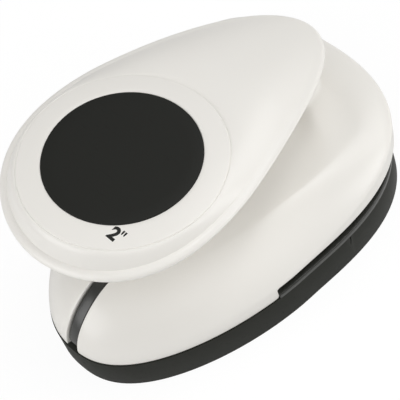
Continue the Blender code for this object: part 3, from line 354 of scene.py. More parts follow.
def steel(name, colour, shade, roughness, brushed):
    # Steel with fine lines along one way, slow stains and tiny pits.
    look = steelLook
    paint = Paint(name, colour, roughness, Metallic=1.0)
    lines = paint.noise(look["lines"], 2.0, paint.stretched(brushed))
    stains = paint.noise(look["stains"])
    pits = paint.noise(look["pits"], 1.0) > look["pitLevel"]
    paint.set("Base Color", paint.mix(paint.ramp(stains, *look["tintRange"]), colour, shade))
    paint.set("Roughness", lines * look["lineRoughness"]
              + paint.ramp(stains, *look["stainRange"]) * look["stainRoughness"]
              + (roughness - look["smoothest"]))
    paint.bump(lines + pits * look["pitHeight"], look["bumpDepth"], look["bumpStrength"])
    return paint.material


plastics = {
    "shell_white": {"colour": (0.895, 0.873, 0.828), "shade": (0.88, 0.857, 0.81),
                    "roughness": 0.34, "grain": 2600, "grainDepth": 0.00001, "coat": 0.25},
    "base_black": {"colour": (0.0190, 0.0200, 0.0155), "shade": (0.0165, 0.0175, 0.0135),
                   "roughness": 0.50, "grain": 1700, "grainDepth": 0.00003, "shine": 0.18},
    "deck_black": {"colour": (0.0190, 0.0200, 0.0160), "shade": (0.0165, 0.0175, 0.0140),
                   "roughness": 0.34, "grain": 1700, "grainDepth": 0.00002, "coat": 0.5, "shine": 0.3},
    "latch_black": {"colour": (0.022, 0.0225, 0.020), "shade": (0.027, 0.0275, 0.0245),
                    "roughness": 0.32, "grain": 1900, "grainDepth": 0.00002, "coat": 0.3},
    "disc_black": {"colour": (0.0145, 0.0150, 0.0125), "shade": (0.0135, 0.014, 0.012),
                   "roughness": 0.62, "grain": 2200, "grainDepth": 0.00001, "shine": 0.22},
    "mark_black": {"colour": (0.022, 0.022, 0.020), "shade": (0.019, 0.019, 0.018),
                   "roughness": 0.5, "grain": 3000, "grainDepth": 0.000005, "shine": 0.2},
    "arm_white": {"colour": (0.72, 0.71, 0.68), "shade": (0.69, 0.68, 0.65),
                  "roughness": 0.42, "grain": 1900, "grainDepth": 0.00002},
}
steels = {
    "cutting_steel": {"colour": (0.62, 0.62, 0.62), "shade": (0.52, 0.52, 0.51),
                      "roughness": 0.26, "brushed": (1, 12, 1)},
    "frame_steel": {"colour": (0.44, 0.44, 0.45), "shade": (0.36, 0.35, 0.34),
                    "roughness": 0.38, "brushed": (10, 1, 1)},
    "pin_steel": {"colour": (0.56, 0.56, 0.57), "shade": (0.48, 0.48, 0.48),
                  "roughness": 0.28, "brushed": (14, 1, 1)},
    "spring_steel": {"colour": (0.50, 0.50, 0.52), "shade": (0.42, 0.42, 0.43),
                     "roughness": 0.30, "brushed": (1, 1, 6)},
    "screw_steel": {"colour": (0.50, 0.50, 0.50), "shade": (0.43, 0.42, 0.40),
                    "roughness": 0.32, "brushed": (1, 1, 8)},
}
finish = {name: mouldedPlastic(name, **values) for name, values in plastics.items()}
finish.update({name: steel(name, **values) for name, values in steels.items()})
print("circle punch: finishes made")


# Base and housing share one egg shaped outline.
egg = {
    "halfWidth": 0.046988,
    "halfLength": 0.0693,
    "power": 2.36,
    "taper": 0.293,
    "fullness": 0.04,
    "overhang": 0.0030,
    "columns": 176,
}


def eggPlace(turn, overhang=0.0):
    across, along = superellipse(turn, egg["power"])
    s = math.sin(turn)
    swell = 1 + egg["taper"] * s + egg["fullness"] * s * s
    length = egg["halfLength"] + (overhang if s > 0 else 0)
    return Vector((egg["halfWidth"] * across * swell, length * along))


def eggPoint(turn, inset=0.0, overhang=0.0):
    return insetPoint(lambda t: eggPlace(t, overhang), turn, inset)


def eggRing(height, inset=0.0):
    return [(*eggPoint(turn, inset), height) for turn in turnsRound(egg["columns"])]


# Housing: at the press end it curves up from low on the wall, at the hinge end from high on it.
housing = {
    "bottom": 0.0146,
    "wall": 0.0022,
    "setIn": 0.0012,
    "pressCrest": 0.0333,
    "hingeCrest": 0.0336,
    "pressShoulder": 0.0147,
    "hingeShoulder": 0.0300,
    "pressReach": 0.0218,
    "hingeReach": 0.0124,
    "pressCurve": 1.16,
    "hingeCurve": 1.15,
    "troughDepth": 0.0021,
    "troughSteepness": 0.30,
    "troughFrom": (-0.15, 0.20),
    "troughTo": (0.22, 0.48),
    "swell": 0.0016,
    "swellCurve": 0.30,
    "swellFrom": (-0.60, 0.15),
    "swellTo": (0.30, 0.90),
    "mouthTop": 0.0205,
    "mouthStart": -0.0105,
    "mouthCorner": 0.0012,
    "mouthCornerSteps": 5,
    "mouthSearch": (-0.6, 0.3),
    "aboveMouth": 0.0008,
    "slotHalfWidth": 0.0026,
    "slotEnd": -0.0257,
    "slotColumns": 2,
    "slotBlendColumns": 17,
    "softEdge": 0.00035,
    "lowRows": 3,
    "filletRows": 18,
    "troughRows": 13,
    "collarRows": 8,
    "collarRoundRows": 3,
}
collar = {
    "halfWidth": 0.0068,
    "back": -0.0150,
    "front": 0.0505,
    "rim": 0.0030,
    "foot": 0.0040,
    "top": 0.0404,
    "round": 0.0012,
    "power": 4,
    "flare": 1.7,
}


def pressToHinge(quality, turn):
    # A press end value that eases into the hinge end's along the egg.
    share = easeBetween(-1, 1, math.sin(turn))
    return blend(housing["press" + quality], housing["hinge" + quality], share)


def between(start, end, turn):
    # Rises over the first range of the egg's length and falls again over the second.
    along = math.sin(turn)
    return easeBetween(*start, along) * (1 - easeBetween(*end, along))


def swollen(quality, extra, turn):
    # The flanks swell a little beside the lever.
    return pressToHinge(quality, turn) + extra * between(housing["swellFrom"], housing["swellTo"], turn)


def crestHeight(turn):
    return swollen("Crest", housing["swell"], turn)


def sideCurve(turn):
    return swollen("Curve", housing["swellCurve"], turn)


def sidePlace(turn, angle):
    # On the curve above the wall's shoulder: angle 0 is the wall and a quarter turn the crest.
    curve = sideCurve(turn)
    inset = housing["setIn"] + pressToHinge("Reach", turn) * (1 - max(0, math.cos(angle)) ** curve)
    height = blend(pressToHinge("Shoulder", turn), crestHeight(turn), math.sin(angle) ** curve)
    return (*eggPoint(turn, inset, egg["overhang"]), height)


def angleAt(turn, height):
    low = pressToHinge("Shoulder", turn)
    share = min(1, max(0, (height - low) / (crestHeight(turn) - low)))
    return math.asin(share ** (1 / sideCurve(turn)))


def wallPlace(turn, height):
    x, y, _ = sidePlace(turn, angleAt(turn, height))
    return x, y, height


def filletPlace(turn, share, start):
    # From a start height up the rest of the wall and over the curve to the crest.
    low = pressToHinge("Shoulder", turn)
    upright = max(0, low - start)
    first = angleAt(turn, start)
    radius = (pressToHinge("Reach", turn) + crestHeight(turn) - low) / 2
    arc = radius * (math.pi / 2 - first)
    gone = share * (upright + arc)
    if gone < upright:
        return wallPlace(turn, start + gone)
    return sidePlace(turn, first + (gone - upright) / radius)


def collarPlace(turn, grow):
    across, along = superellipse(turn, collar["power"])
    middle = (collar["back"] + collar["front"]) / 2
    half = (collar["front"] - collar["back"]) / 2
    return Vector(((collar["halfWidth"] + grow) * across, middle + (half + grow) * along))


def troughFloor(turn):
    crest = Vector(sidePlace(turn, math.pi / 2))
    foot = collarPlace(turn, collar["rim"] + collar["foot"])
    deep = min(housing["troughDepth"], housing["troughSteepness"] * (crest.to_2d() - foot).length)
    return crest, foot, crest.z - deep * between(housing["troughFrom"], housing["troughTo"], turn)


def troughPlace(turn, share):
    crest, foot, floor = troughFloor(turn)
    return (*crest.to_2d().lerp(foot, share), blend(crest.z, floor, math.sin(share * math.pi / 2)))


def collarSide(turn, share):
    floor = troughFloor(turn)[2]
    grow = collar["rim"] + collar["foot"] * (1 - share) ** collar["flare"]
    return (*collarPlace(turn, grow), blend(floor, collar["top"] - collar["round"], share))


def roundMouthCorners(mesh):
    # Rounds the four upright corners through the wall, where the mouth starts on both sides.
    bm = bmesh.new()
    bm.from_mesh(mesh)
    corners = []
    for edge in bm.edges:
        first, last = (v.co for v in edge.verts)
        across = last - first
        through = abs(across.z) < nearly and across.length < 2 * housing["wall"]
        level = min(abs(first.z - housing[key]) for key in ("bottom", "mouthTop"))
        near = abs(first.y - housing["mouthStart"]) < 2 * nearly
        if through and level < nearly and near and abs(across.x) > 10 * nearly:
            corners.append(edge)
    bmesh.ops.bevel(bm, geom=corners, offset=housing["mouthCorner"], offset_type="OFFSET",
                    segments=housing["mouthCornerSteps"], profile=0.5, affect="EDGES")
    return meshFrom(bm)


def makeHousing():
    lowTop = housing["mouthTop"] + housing["aboveMouth"]
    heights = [blend(housing["bottom"], housing["mouthTop"], i / housing["lowRows"])
               for i in range(housing["lowRows"] + 1)] + [lowTop]
    surfaces = [lambda turn, h=h: wallPlace(turn, h) for h in heights]
    for i in range(1, housing["filletRows"] + 1):
        surfaces.append(lambda turn, u=i / housing["filletRows"]: filletPlace(turn, u, lowTop))
    crestBack = troughPlace(-math.pi / 2, 0)[1]
    footBack = troughPlace(-math.pi / 2, 1)[1]
    slotShare = (housing["slotEnd"] - crestBack) / (footBack - crestBack)
    slotStep = round(slotShare * housing["troughRows"])
    for i in range(1, housing["troughRows"] + 1):
        # One of these rows lies on the slot's end.
        share = slotShare * i / slotStep if i <= slotStep else blend(
            slotShare, 1, (i - slotStep) / (housing["troughRows"] - slotStep))
        surfaces.append(lambda turn, u=share: troughPlace(turn, u))
    slotRow = len(heights) + housing["filletRows"] + slotStep - 1
    for i in range(1, housing["collarRows"] + 1):
        surfaces.append(lambda turn, u=i / housing["collarRows"]: collarSide(turn, u))
    for angle in quarterTurn(housing["collarRoundRows"], 1):
        grow = collar["rim"] - collar["round"] * (1 - math.cos(angle))
        height = collar["top"] - collar["round"] * (1 - math.sin(angle))
        surfaces.append(lambda turn, g=grow, h=height: (*collarPlace(turn, g), h))
    surfaces.append(lambda turn: (*collarPlace(turn, 0), collar["top"]))

    count = egg["columns"]
    step = 2 * math.pi / count
    slotColumn = housing["slotColumns"]
    limit = housing["slotBlendColumns"] * step
    mouthTurn = solveTurn(lambda t: wallPlace(t, housing["bottom"])[1], housing["mouthStart"],
                          *housing["mouthSearch"])
    mouthColumn = round((mouthTurn + math.pi / 2) / step)
    rings = []
    for surface in surfaces:
        # The columns beside the slot keep its width on every row.
        edge = math.pi / 2 + solveTurn(lambda t: surface(t)[0], housing["slotHalfWidth"], -math.pi / 2, 0)
        ring = []
        for column in range(count):
            side = column if column <= count / 2 else column - count
            offset = abs(side) * step
            if abs(side) <= slotColumn:
                offset *= edge / (slotColumn * step)
            elif offset < limit:
                share = (offset - slotColumn * step) / (limit - slotColumn * step)
                offset = blend(edge, limit, share)
            if abs(side) == mouthColumn:
                offset = mouthTurn + math.pi / 2
            ring.append(surface(math.copysign(offset, side) - math.pi / 2))
        rings.append(ring)

    def leftOut(row, column):
        side = column if column < count / 2 else column - count
        inSlot = -slotColumn <= side < slotColumn and row < slotRow
        inMouth = (side >= mouthColumn or side < -mouthColumn) and row < housing["lowRows"]
        return inSlot or inMouth

    wall = ("SOLIDIFY", {"thickness": housing["wall"], "offset": -1})
    walled = shaped(skin(rings, leftOut), wall)
    return shaped(roundMouthCorners(walled), softEdges(housing["softEdge"]))


addPiece("housing_shell", makeHousing(), "shell_white", "base", ["top_housing"])
print("circle punch: housing made")


# Base tray, with the chute, ribs and bosses inside it
tray = {
    "rim": 0.0143,
    "draft": 0.0008,
    "lowRound": 0.0007,
    "roundRows": 4,
    "rimRound": 0.00025,
    "rimBreak": 0.3,
    "wall": 0.0026,
    "floor": 0.0022,
    "seat": 0.0133,
    "chuteRadius": 0.0268,
    "chuteWall": 0.0022,
    "chuteSteps": 144,
    "ribHalf": 0.0008,
    "ribStart": -0.0566,
    "bossRadius": 0.0035,
    "holeRadius": 0.00155,
    "recessRadius": 0.0027,
    "recessDepth": 0.0020,
    "postNear": 0.0027,
    "postFar": 0.0051,
    "postHalf": 0.0021,
    "pin": (-0.0613, 0.0183),
    "pinHole": 0.0013,
    "seamPlace": 0.0206,
    "seamLow": 0.0098,
    "seamWidth": 0.00036,
    "seamDepth": 0.0008,
    "seamBow": 0.0006,
    "seamBowTurn": 0.8,
    "seamFoot": 0.3,
    "seamFootLength": 1 / 3,
    "seamRows": 8,
    "seamOver": 0.001,
    "seamSearch": (-0.6, 0.8),
}


def nodePoints(name, place=onStand):
    # The corners of a solid, in the space that a piece is drawn in.
    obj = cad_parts[name]
    change = place.inverted() @ obj.matrix_world
    return [change @ v.co for v in obj.data.vertices]


def boxOf(points):
    return [Vector([reach(p[axis] for p in points) for axis in range(3)]) for reach in (min, max)]


def middleOf(name):
    low, high = boxOf(nodePoints(name))
    return (low + high) / 2


def acrossBar(radius, halfLength, y, z):
    bar = post(radius, -halfLength, halfLength)
    bar.transform(Matrix.Translation((0, y, z)) @ alongX)
    return bar


def makeTray():
    top, low, rim = tray["rim"], tray["lowRound"], tray["rimRound"]
    rings = []
    for angle in quarterTurn(tray["roundRows"]):
        rings.append(eggRing(low * (1 - math.cos(angle)), low * (1 - math.sin(angle))))
    rings.append(eggRing(top - rim, tray["draft"]))
    rings.append(eggRing(top - rim * tray["rimBreak"], tray["draft"] + rim * tray["rimBreak"]))
    rings.append(eggRing(top, tray["draft"] + rim))
    outside = solidSkin(rings)
    inside = solidSkin([eggRing(z, tray["wall"] + tray["draft"]) for z in (tray["floor"], 2 * top)])
    hollow = combined(outside, [inside], "DIFFERENCE")
    base, seat, centre = tray["floor"] / 2, tray["seat"], cut["centre"]
    wide, far, half = egg["halfWidth"], egg["halfLength"] - tray["wall"] / 2, tray["ribHalf"]
    added = [post(tray["chuteRadius"] + tray["chuteWall"], base, seat, 0, centre, tray["chuteSteps"]),
             block((-wide - base, centre - half, base), (wide + base, centre + half, seat)),
             block((-half, tray["ribStart"], base), (half, far, seat))]
    holes = [post(tray["chuteRadius"], -top, 2 * top, 0, centre, tray["chuteSteps"])]
    for kind, high, start in (("die", seat, base), ("frame", top, base), ("housing", top, -top)):
        for i in range(1, 5):
            spot = middleOf(f"{kind}_screw_{i}")
            added.append(post(tray["bossRadius"], base, high, spot.x, spot.y))
            holes.append(post(tray["holeRadius"], start, 2 * top, spot.x, spot.y))
            if kind == "housing":
                holes.append(post(tray["recessRadius"], -top, tray["recessDepth"], spot.x, spot.y))
    y, z = tray["pin"]
    for side in (-1, 1):
        near, outer = sorted((side * tray["postNear"], side * tray["postFar"]))
        added.append(block((near, y - tray["postHalf"], base),
                           (outer, y + tray["postHalf"], z + tray["postHalf"])))
    holes.append(acrossBar(tray["pinHole"], tray["postFar"] * 2, y, z))
    holes += [seamCutter(side) for side in (-1, 1)]
    return combined(combined(hollow, added, "UNION"), holes, "DIFFERENCE")


def seamCutter(side):
    # A thin curved blade standing in the side wall, for the short seam beside the mouth.
    low, high, wide = tray["seamLow"], tray["rim"] + tray["seamOver"], tray["seamWidth"] / 2
    rings = []
    for i in range(tray["seamRows"] + 1):
        share = i / tray["seamRows"]
        y = tray["seamPlace"] + tray["seamBow"] * math.sin(share * math.pi * tray["seamBowTurn"])
        z = blend(low, high, share)
        turn = solveTurn(lambda t: eggPlace(t)[1], y, *tray["seamSearch"])
        x = eggPoint(turn, tray["draft"] * z / tray["rim"]).x
        rise = math.sin(min(1, share / tray["seamFootLength"]) * math.pi / 2)
        narrow = wide * blend(tray["seamFoot"], 1, rise)
        inner, outer = side * (x - tray["seamDepth"]), side * (x + tray["seamOver"])
        rings.append([(inner, y - narrow, z), (outer, y - narrow, z),
                      (outer, y + narrow, z), (inner, y + narrow, z)])
    return solidSkin(rings)


addPiece("tray_shell", makeTray(), "base_black", "base", ["base_tray"])
print("circle punch: base tray made")

# Paper deck and the die in its opening
deck = {
    "bottom": 0.0144,
    "top": 0.0166,
    "round": 0.00045,
    "roundRows": 4,
    "dieHalfWidth": 0.0330,
    "dieBack": -0.0110,
    "dieFront": 0.0470,
    "dieBottom": 0.0136,
    "dieCorner": 0.0040,
    "dieCornerRows": 8,
    "dieGap": 0.0002,
    "dieEdge": 0.00008,
    "headRadius": 0.0027,
    "headDepth": 0.0018,
    "punchLow": 0.0194,
    "punchHeight": 0.0065,
    "punchEdge": 0.0003,
    "punchWall": 0.0060,
    "punchHollow": 0.0030,
}


def dieOutline(gap):
    wide, corner = deck["dieHalfWidth"] + gap, deck["dieCorner"] + gap
    back, front = deck["dieBack"] - gap, deck["dieFront"] + gap
    right, left, low, high = wide - corner, corner - wide, back + corner, front - corner
    points = []
    for quarter, (x, y) in enumerate(((right, high), (left, high), (left, low), (right, low))):
        for angle in quarterTurn(deck["dieCornerRows"]):
            angle += quarter * math.pi / 2
            points.append((x + corner * math.cos(angle), y + corner * math.sin(angle)))
    return points


def makeDeck():
    edge, top = deck["round"], deck["top"]
    rings = [eggRing(deck["bottom"], tray["draft"])]
    for angle in quarterTurn(deck["roundRows"]):
        inset = tray["draft"] + edge * (1 - math.cos(angle))
        rings.append(eggRing(top - edge * (1 - math.sin(angle)), inset))
    far = 2 * egg["halfLength"]
    away = [block((-far, -far, 0), (far, housing["mouthStart"], 2 * top)),
            flatShape(dieOutline(deck["dieGap"]), 0, 2 * top)]
    return combined(solidSkin(rings), away, "DIFFERENCE")


def makeDie():
    top = deck["top"]
    slab = flatShape(dieOutline(0), deck["dieBottom"], top)
    holes = [post(cut["radius"] + cut["clearance"], 0, 2 * top, 0, cut["centre"], circleSteps)]
    for i in range(1, 5):
        spot = middleOf(f"die_screw_{i}")
        holes.append(post(tray["holeRadius"], 0, 2 * top, spot.x, spot.y))
        holes.append(post(deck["headRadius"], top - deck["headDepth"], 2 * top, spot.x, spot.y))
    return shaped(combined(slab, holes, "DIFFERENCE"), softEdges(deck["dieEdge"], 1))


def makePunch():
    radius, high, edge = cut["radius"], deck["punchHeight"], deck["punchEdge"]
    inner = radius - deck["punchWall"]
    profile = [(0, high), (radius - edge, high), (radius, high - edge), (radius, 0), (inner, 0),
               (inner - deck["punchWall"] / 4, deck["punchHollow"]), (0, deck["punchHollow"])]
    punch = lathe(profile, circleSteps)
    punch.transform(Matrix.Translation((0, cut["centre"], deck["punchLow"])))
    return punch


addPiece("deck_plate", makeDeck(), "deck_black", "base", ["paper_deck"])
addPiece("die", makeDie(), "cutting_steel", "base", ["die_plate"],
         smoothAngle=metalSmoothAngle)
addPiece("round_punch", makePunch(), "cutting_steel", "punch_group", ["punch"],
         smoothAngle=metalSmoothAngle)
print("circle punch: deck, die and punch made")

# Storage latch: a strip bent like the housing, a little below its surface
latch = {
    "recess": 0.0010,
    "thickness": 0.0022,
    "halfWidth": 0.0021,
    "end": -0.0263,
    "lip": 0.0022,
    "lipThickness": 0.0018,
    "startAngle": math.radians(8),
    "bendSteps": 40,
    "bossRadius": 0.0032,
    "bossInset": 0.0002,
    "softEdge": 0.0004,
    "softEdgeSteps": 4,
    "softEdgeAngle": 55,
}


def latchPath(depth):
    middle = housing["setIn"] + housing["pressReach"] - egg["halfLength"]
    reach = housing["pressReach"] - depth
    rise = housing["pressCrest"] - housing["pressShoulder"] - depth
    points = []
    for i in range(latch["bendSteps"] + 1):
        angle = blend(latch["startAngle"], math.pi / 2, i / latch["bendSteps"])
        along = max(0, math.cos(angle)) ** housing["pressCurve"]
        points.append((middle - reach * along,
                       housing["pressShoulder"] + rise * math.sin(angle) ** housing["pressCurve"]))
    return points


def makeLatch():
    outer = latchPath(latch["recess"])
    inner = latchPath(latch["recess"] + latch["thickness"])
    end, top, under = latch["end"], outer[-1][1], inner[-1][1]
    back = end - latch["lipThickness"]
    tip = [(end, top), (end, under - latch["lip"]), (back, under - latch["lip"]), (back, under)]
    half = latch["halfWidth"]
    strip = flatShape(outer + tip + inner[::-1], -half, half, alongX)
    y, z = tray["pin"]
    boss = acrossBar(latch["bossRadius"], half - latch["bossInset"], y, z)
    bore = acrossBar(tray["pinHole"], tray["postFar"] * 2, y, z)
    bored = combined(combined(strip, [boss], "UNION"), [bore], "DIFFERENCE")
    return shaped(bored, softEdges(latch["softEdge"], latch["softEdgeSteps"], latch["softEdgeAngle"]))


addPiece("latch_strip", makeLatch(), "latch_black", "latch", ["storage_latch"])
print("circle punch: latch made")

# Lever, drawn in its own plane about the middle of its black disc
lever = {
    "discPlace": (0, -0.0201, 0.0782),
    "tilt": math.radians(8.37),
    "halfWidth": 0.03627,
    "halfLength": 0.06345,
    "middle": 0.02363,
    "power": 1.932,
    "taper": (-0.386, 0.157, 0.059),
    "edgeDrop": 0.00615,
    "droopRadius": 0.302,
    "droopStart": 0.0094,
    "sideHeight": 0.0015,
    "sideDraft": 0.0007,
    "sideRows": 2,
    "bevel": 0.0026,
    "bevelRise": 0.0017,
    "bevelRows": 6,
    "wall": 0.0022,
    "columns": 180,
    "domeRows": 18,
    "flankPower": 3,
    "flankTurn": 0.6,
    "plateRadius": 0.0335,
    "plateLip": 0.00015,
    "plateFootDrop": 0.00155,
    "wellLip": 0.00035,
    "wellLipDrop": 0.0002,
    "wellInset": 0.00045,
    "wellDepth": 0.0035,
    "wellFloor": 0.008,
}
onLever = (onStand @ Matrix.Translation(lever["discPlace"])
           @ Matrix.Rotation(-lever["tilt"], 4, "X"))


def leverPlace(turn):
    across, along = superellipse(turn, lever["power"])
    s = math.sin(turn)
    swell = 1 + sum(share * s ** (power + 1) for power, share in enumerate(lever["taper"]))
    return Vector((lever["halfWidth"] * across * swell, lever["middle"] + lever["halfLength"] * along))


def edgeDrop(y):
    return lever["edgeDrop"] + (y - lever["droopStart"]) ** 2 / (2 * lever["droopRadius"])


def leverEdge(inset, lowerBy):
    points = [insetPoint(leverPlace, turn, inset) for turn in turnsRound(lever["columns"])]
    return [Vector((p.x, p.y, -edgeDrop(p.y) - lowerBy)) for p in points]


def halfWidthAt(ring, y):
    # How far a ring of points reaches to the right at a place along it.
    right = sorted((point.y, point.x) for point in ring if point.x >= 0)
    for (low, first), (high, second) in zip(right, right[1:]):
        if low <= y <= high:
            return blend(first, second, (y - low) / (high - low))
    return right[-1][1]


def domeHeight(place, start, radius):
    # Over the tip the dome is flat across and falls along its middle line, down to the rim.
    foot, end = -lever["plateFootDrop"], max(point.y for point in start)
    share = min(1, max(0, (end - place.y) / (end - radius)))
    middle = blend(lever["bevelRise"] - edgeDrop(end), foot, math.sin(share * math.pi / 2))
    rim = lever["bevelRise"] - edgeDrop(place.y)
    across = min(1, abs(place.x) / max(halfWidthAt(start, place.y), nearly))
    return blend(middle, rim, across ** lever["flankPower"])


def makeLeverShell():
    rings = []
    for i in range(lever["sideRows"] + 1):
        left = 1 - i / lever["sideRows"]
        rings.append(leverEdge(lever["sideDraft"] * left, lever["sideHeight"] * left))
    for angle in quarterTurn(lever["bevelRows"], 1):
        inset = lever["bevel"] * (1 - math.cos(angle))
        rings.append(leverEdge(inset, -lever["bevelRise"] * math.sin(angle)))
    start = rings[-1]
    radius, foot = lever["plateRadius"] + lever["plateLip"], -lever["plateFootDrop"]
    ways = [point.to_2d().normalized() for point in start]
    for i in range(1, lever["domeRows"] + 1):
        share = i / lever["domeRows"]
        ring = []
        for low, way in zip(start, ways):
            place = low.to_2d().lerp(way * radius, share)
            rise = math.sin(share * math.pi / 2)
            around = blend(low.z, foot, rise)
            missed = foot - domeHeight(way * radius, start, radius)
            along = domeHeight(place, start, radius) + rise * missed
            overTip = easeBetween(0, lever["flankTurn"], way.y)
            ring.append((place.x, place.y, blend(around, along, overTip)))
        rings.append(ring)
    # The plate sits in a shallow well.
    for inset, height in ((lever["wellLip"], foot - lever["wellLipDrop"]),
                          (lever["wellInset"], -lever["wellDepth"]),
                          (lever["wellFloor"], -lever["wellDepth"])):
        rings.append([(*(way * (radius - inset)), height) for way in ways])
    wall = ("SOLIDIFY", {"thickness": lever["wall"], "offset": -1})
    return shaped(skin(rings, capLast=True), wall)


addPiece("lever_top", makeLeverShell(), "shell_white", "lever", ["lever_shell"], onLever)
print("circle punch: lever made")

# Plate and disc on the lever, with the size mark
plate = {
    "radius": lever["plateRadius"],
    "thickness": 0.0020,
    "edgeDrop": 0.00125,
    "edge": 0.0005,
    "edgeRows": 4,
    "innerDrop": 0.00038,
    "innerEdge": 0.0004,
    "innerRound": ((0, 0.0002), (0.00015, 0.00005)),
    "slopeRows": 6,
    "slopePower": 1.5,
    "discGap": 0.00004,
    "discThickness": 0.0012,
    "discCrown": 0.0002,
    "discRows": 6,
    "discEdge": 0.0003,
    "discBreak": 0.0001,
    # text, middle, height and weight of each sign
    "mark": (("2", (0.0186, -0.02155), 0.0060, 0.00026), ('"', (0.0209, -0.0211), 0.0054, 0.00008)),
    "markLift": 0.00002,
}
discHole = cut["radius"] + plate["discGap"]


def plateDrop(radius):
    inner = discHole + plate["innerEdge"]
    share = min(1, max(0, (radius - inner) / (plate["radius"] - plate["edge"] - inner)))
    return blend(plate["innerDrop"], plate["edgeDrop"], share ** plate["slopePower"])


def makePlate():
    outer, edge, low = plate["radius"], plate["edge"], -plate["edgeDrop"]
    seat = -plate["discCrown"] - plate["discThickness"] - plate["discGap"]
    profile = [(0, seat), (discHole, seat)]
    for out, down in plate["innerRound"]:
        profile.append((discHole + out, -plate["innerDrop"] - down))
    for i in range(plate["slopeRows"] + 1):
        radius = blend(discHole + plate["innerEdge"], outer - edge, i / plate["slopeRows"])
        profile.append((radius, -plateDrop(radius)))
    for angle in quarterTurn(plate["edgeRows"], 1):
        profile.append((outer - edge + edge * math.sin(angle), low - edge + edge * math.cos(angle)))
    profile += [(outer, low - plate["thickness"]), (0, low - plate["thickness"])]
    return lathe(profile, circleSteps)


def makeDisc():
    radius, crown, edge = cut["radius"], plate["discCrown"], plate["discEdge"]
    profile = [(0, 0)]
    for i in range(1, plate["discRows"] + 1):
        share = i / plate["discRows"]
        profile.append((share * (radius - edge), -crown * share ** 3))
    profile += [(radius - plate["discBreak"], -crown - plate["discBreak"]), (radius, -crown - edge),
                (radius, -crown - plate["discThickness"]), (0, -crown - plate["discThickness"])]
    return lathe(profile, circleSteps)


def makeMark():
    # The cut size as a plain number, printed on the plate's sloping ring.
    bm = bmesh.new()
    for text, spot, size, weight in plate["mark"]:
        curve = bpy.data.curves.new("mark", "FONT")
        curve.body = text
        curve.size = size
        curve.offset = weight
        curve.align_x = "CENTER"
        curve.align_y = "CENTER"
        mesh = plainCopy(linked("mark", curve))
        mesh.transform(Matrix.Translation((*spot, 0)))
        bm.from_mesh(mesh)
    for vertex in bm.verts:
        vertex.co.z = plate["markLift"] - plateDrop(vertex.co.to_2d().length)
    return meshFrom(bm, outward=False)


addPiece("plate_ring", makePlate(), "shell_white", "lever", ["size_plate"], onLever)
addPiece("disc_top", makeDisc(), "disc_black", "lever", ["size_disc"], onLever)
addPiece("size_mark", makeMark(), "mark_black", "lever", (), onLever)
print("circle punch: plate, disc and mark made")

# Screws
screws = {
    "radius": 0.00125,
    "headRadius": 0.0024,
    "headHeight": 0.0015,
    "headRound": 0.0006,
    "headRows": 5,
    "pitch": 0.0008,
    "threadDepth": 0.00028,
    "plainLength": 0.0014,
    "threadStart": 0.0004,
    "tipLength": 0.0008,
    "tipShare": 0.9,
    "crossWidth": 0.00055,
    "crossReach": 0.0014,
    "crossDepth": 0.0010,
    "seed": 0,
}
# kind, how many, body, place and tilt of each set
screwGroups = {
    "die_screws": ("die_screw", 4, "base", onStand, 0),
    "frame_screws": ("frame_screw", 4, "base", onStand, 0),
    "housing_screws": ("housing_screw", 4, "base", onStand, math.pi),
    "fork_screws": ("fork_screw", 2, "punch_group", onStand, 0),
    "arm_screws": ("arm_screw", 4, "lever", onLever, math.pi),
}


def makeScrew(length):
    # Head up, with the underside of the head at zero.
    high, wide, edge = screws["headHeight"], screws["headRadius"], screws["headRound"]
    profile = [(0, high)]
    for angle in quarterTurn(screws["headRows"]):
        profile.append((wide - edge + edge * math.sin(angle), high - edge + edge * math.cos(angle)))
    radius, pitch = screws["radius"], screws["pitch"]
    profile += [(wide, 0), (radius, 0)]
    for i in range(int((length - screws["plainLength"]) / pitch)):
        z = -screws["threadStart"] - i * pitch
        profile += [(radius, z), (radius - screws["threadDepth"], z - pitch / 2)]
    profile += [(radius * screws["tipShare"], screws["tipLength"] - length), (0, -length)]
    reach, half, deep = screws["crossReach"], screws["crossWidth"] / 2, high - screws["crossDepth"]
    cross = [block((-x, -y, deep), (x, y, 2 * high)) for x, y in ((reach, half), (half, reach))]
    return combined(lathe(profile, postSteps), cross, "DIFFERENCE")


def makeScrewTree():
    # A screw on every point, tilted alike and each turned by its own amount about its axis.
    tree = bpy.data.node_groups.new("screw set", "GeometryNodeTree")
    sockets = (("Places", "NodeSocketGeometry", "INPUT"), ("Screw", "NodeSocketObject", "INPUT"),
               ("Tilt", "NodeSocketFloat", "INPUT"), ("Finish", "NodeSocketMaterial", "INPUT"),
               ("Screws", "NodeSocketGeometry", "OUTPUT"))
    for name, kind, way in sockets:
        tree.interface.new_socket(name=name, in_out=way, socket_type=kind)

    def node(kind, values=None, **settings):
        made = tree.nodes.new(kind)
        for key, value in settings.items():
            setattr(made, key, value)
        for key, value in (values or {}).items():
            if isinstance(value, bpy.types.NodeSocket):
                tree.links.new(value, made.inputs[key])
            else:
                made.inputs[key].default_value = value
        return made.outputs

    given = node("NodeGroupInput")
    # The random node's sockets 2 and 3 are its least and most for plain numbers.
    spin = node("FunctionNodeRandomValue", {2: 0.0, 3: math.pi, "Seed": screws["seed"]}, data_type="FLOAT")
    turned = node("ShaderNodeCombineXYZ", {"X": given["Tilt"], "Z": spin[1]})
    points = node("GeometryNodeMeshToPoints", {"Mesh": given["Places"]})
    screw = node("GeometryNodeObjectInfo", {"Object": given["Screw"]})
    placed = node("GeometryNodeInstanceOnPoints", {"Points": points[0], "Instance": screw["Geometry"],
                                                   "Rotation": turned[0]})
    real = node("GeometryNodeRealizeInstances", {"Geometry": placed[0]})
    finished = node("GeometryNodeSetMaterial", {"Geometry": real[0], "Material": given["Finish"]})
    node("NodeGroupOutput", {"Screws": finished[0]})
    return tree


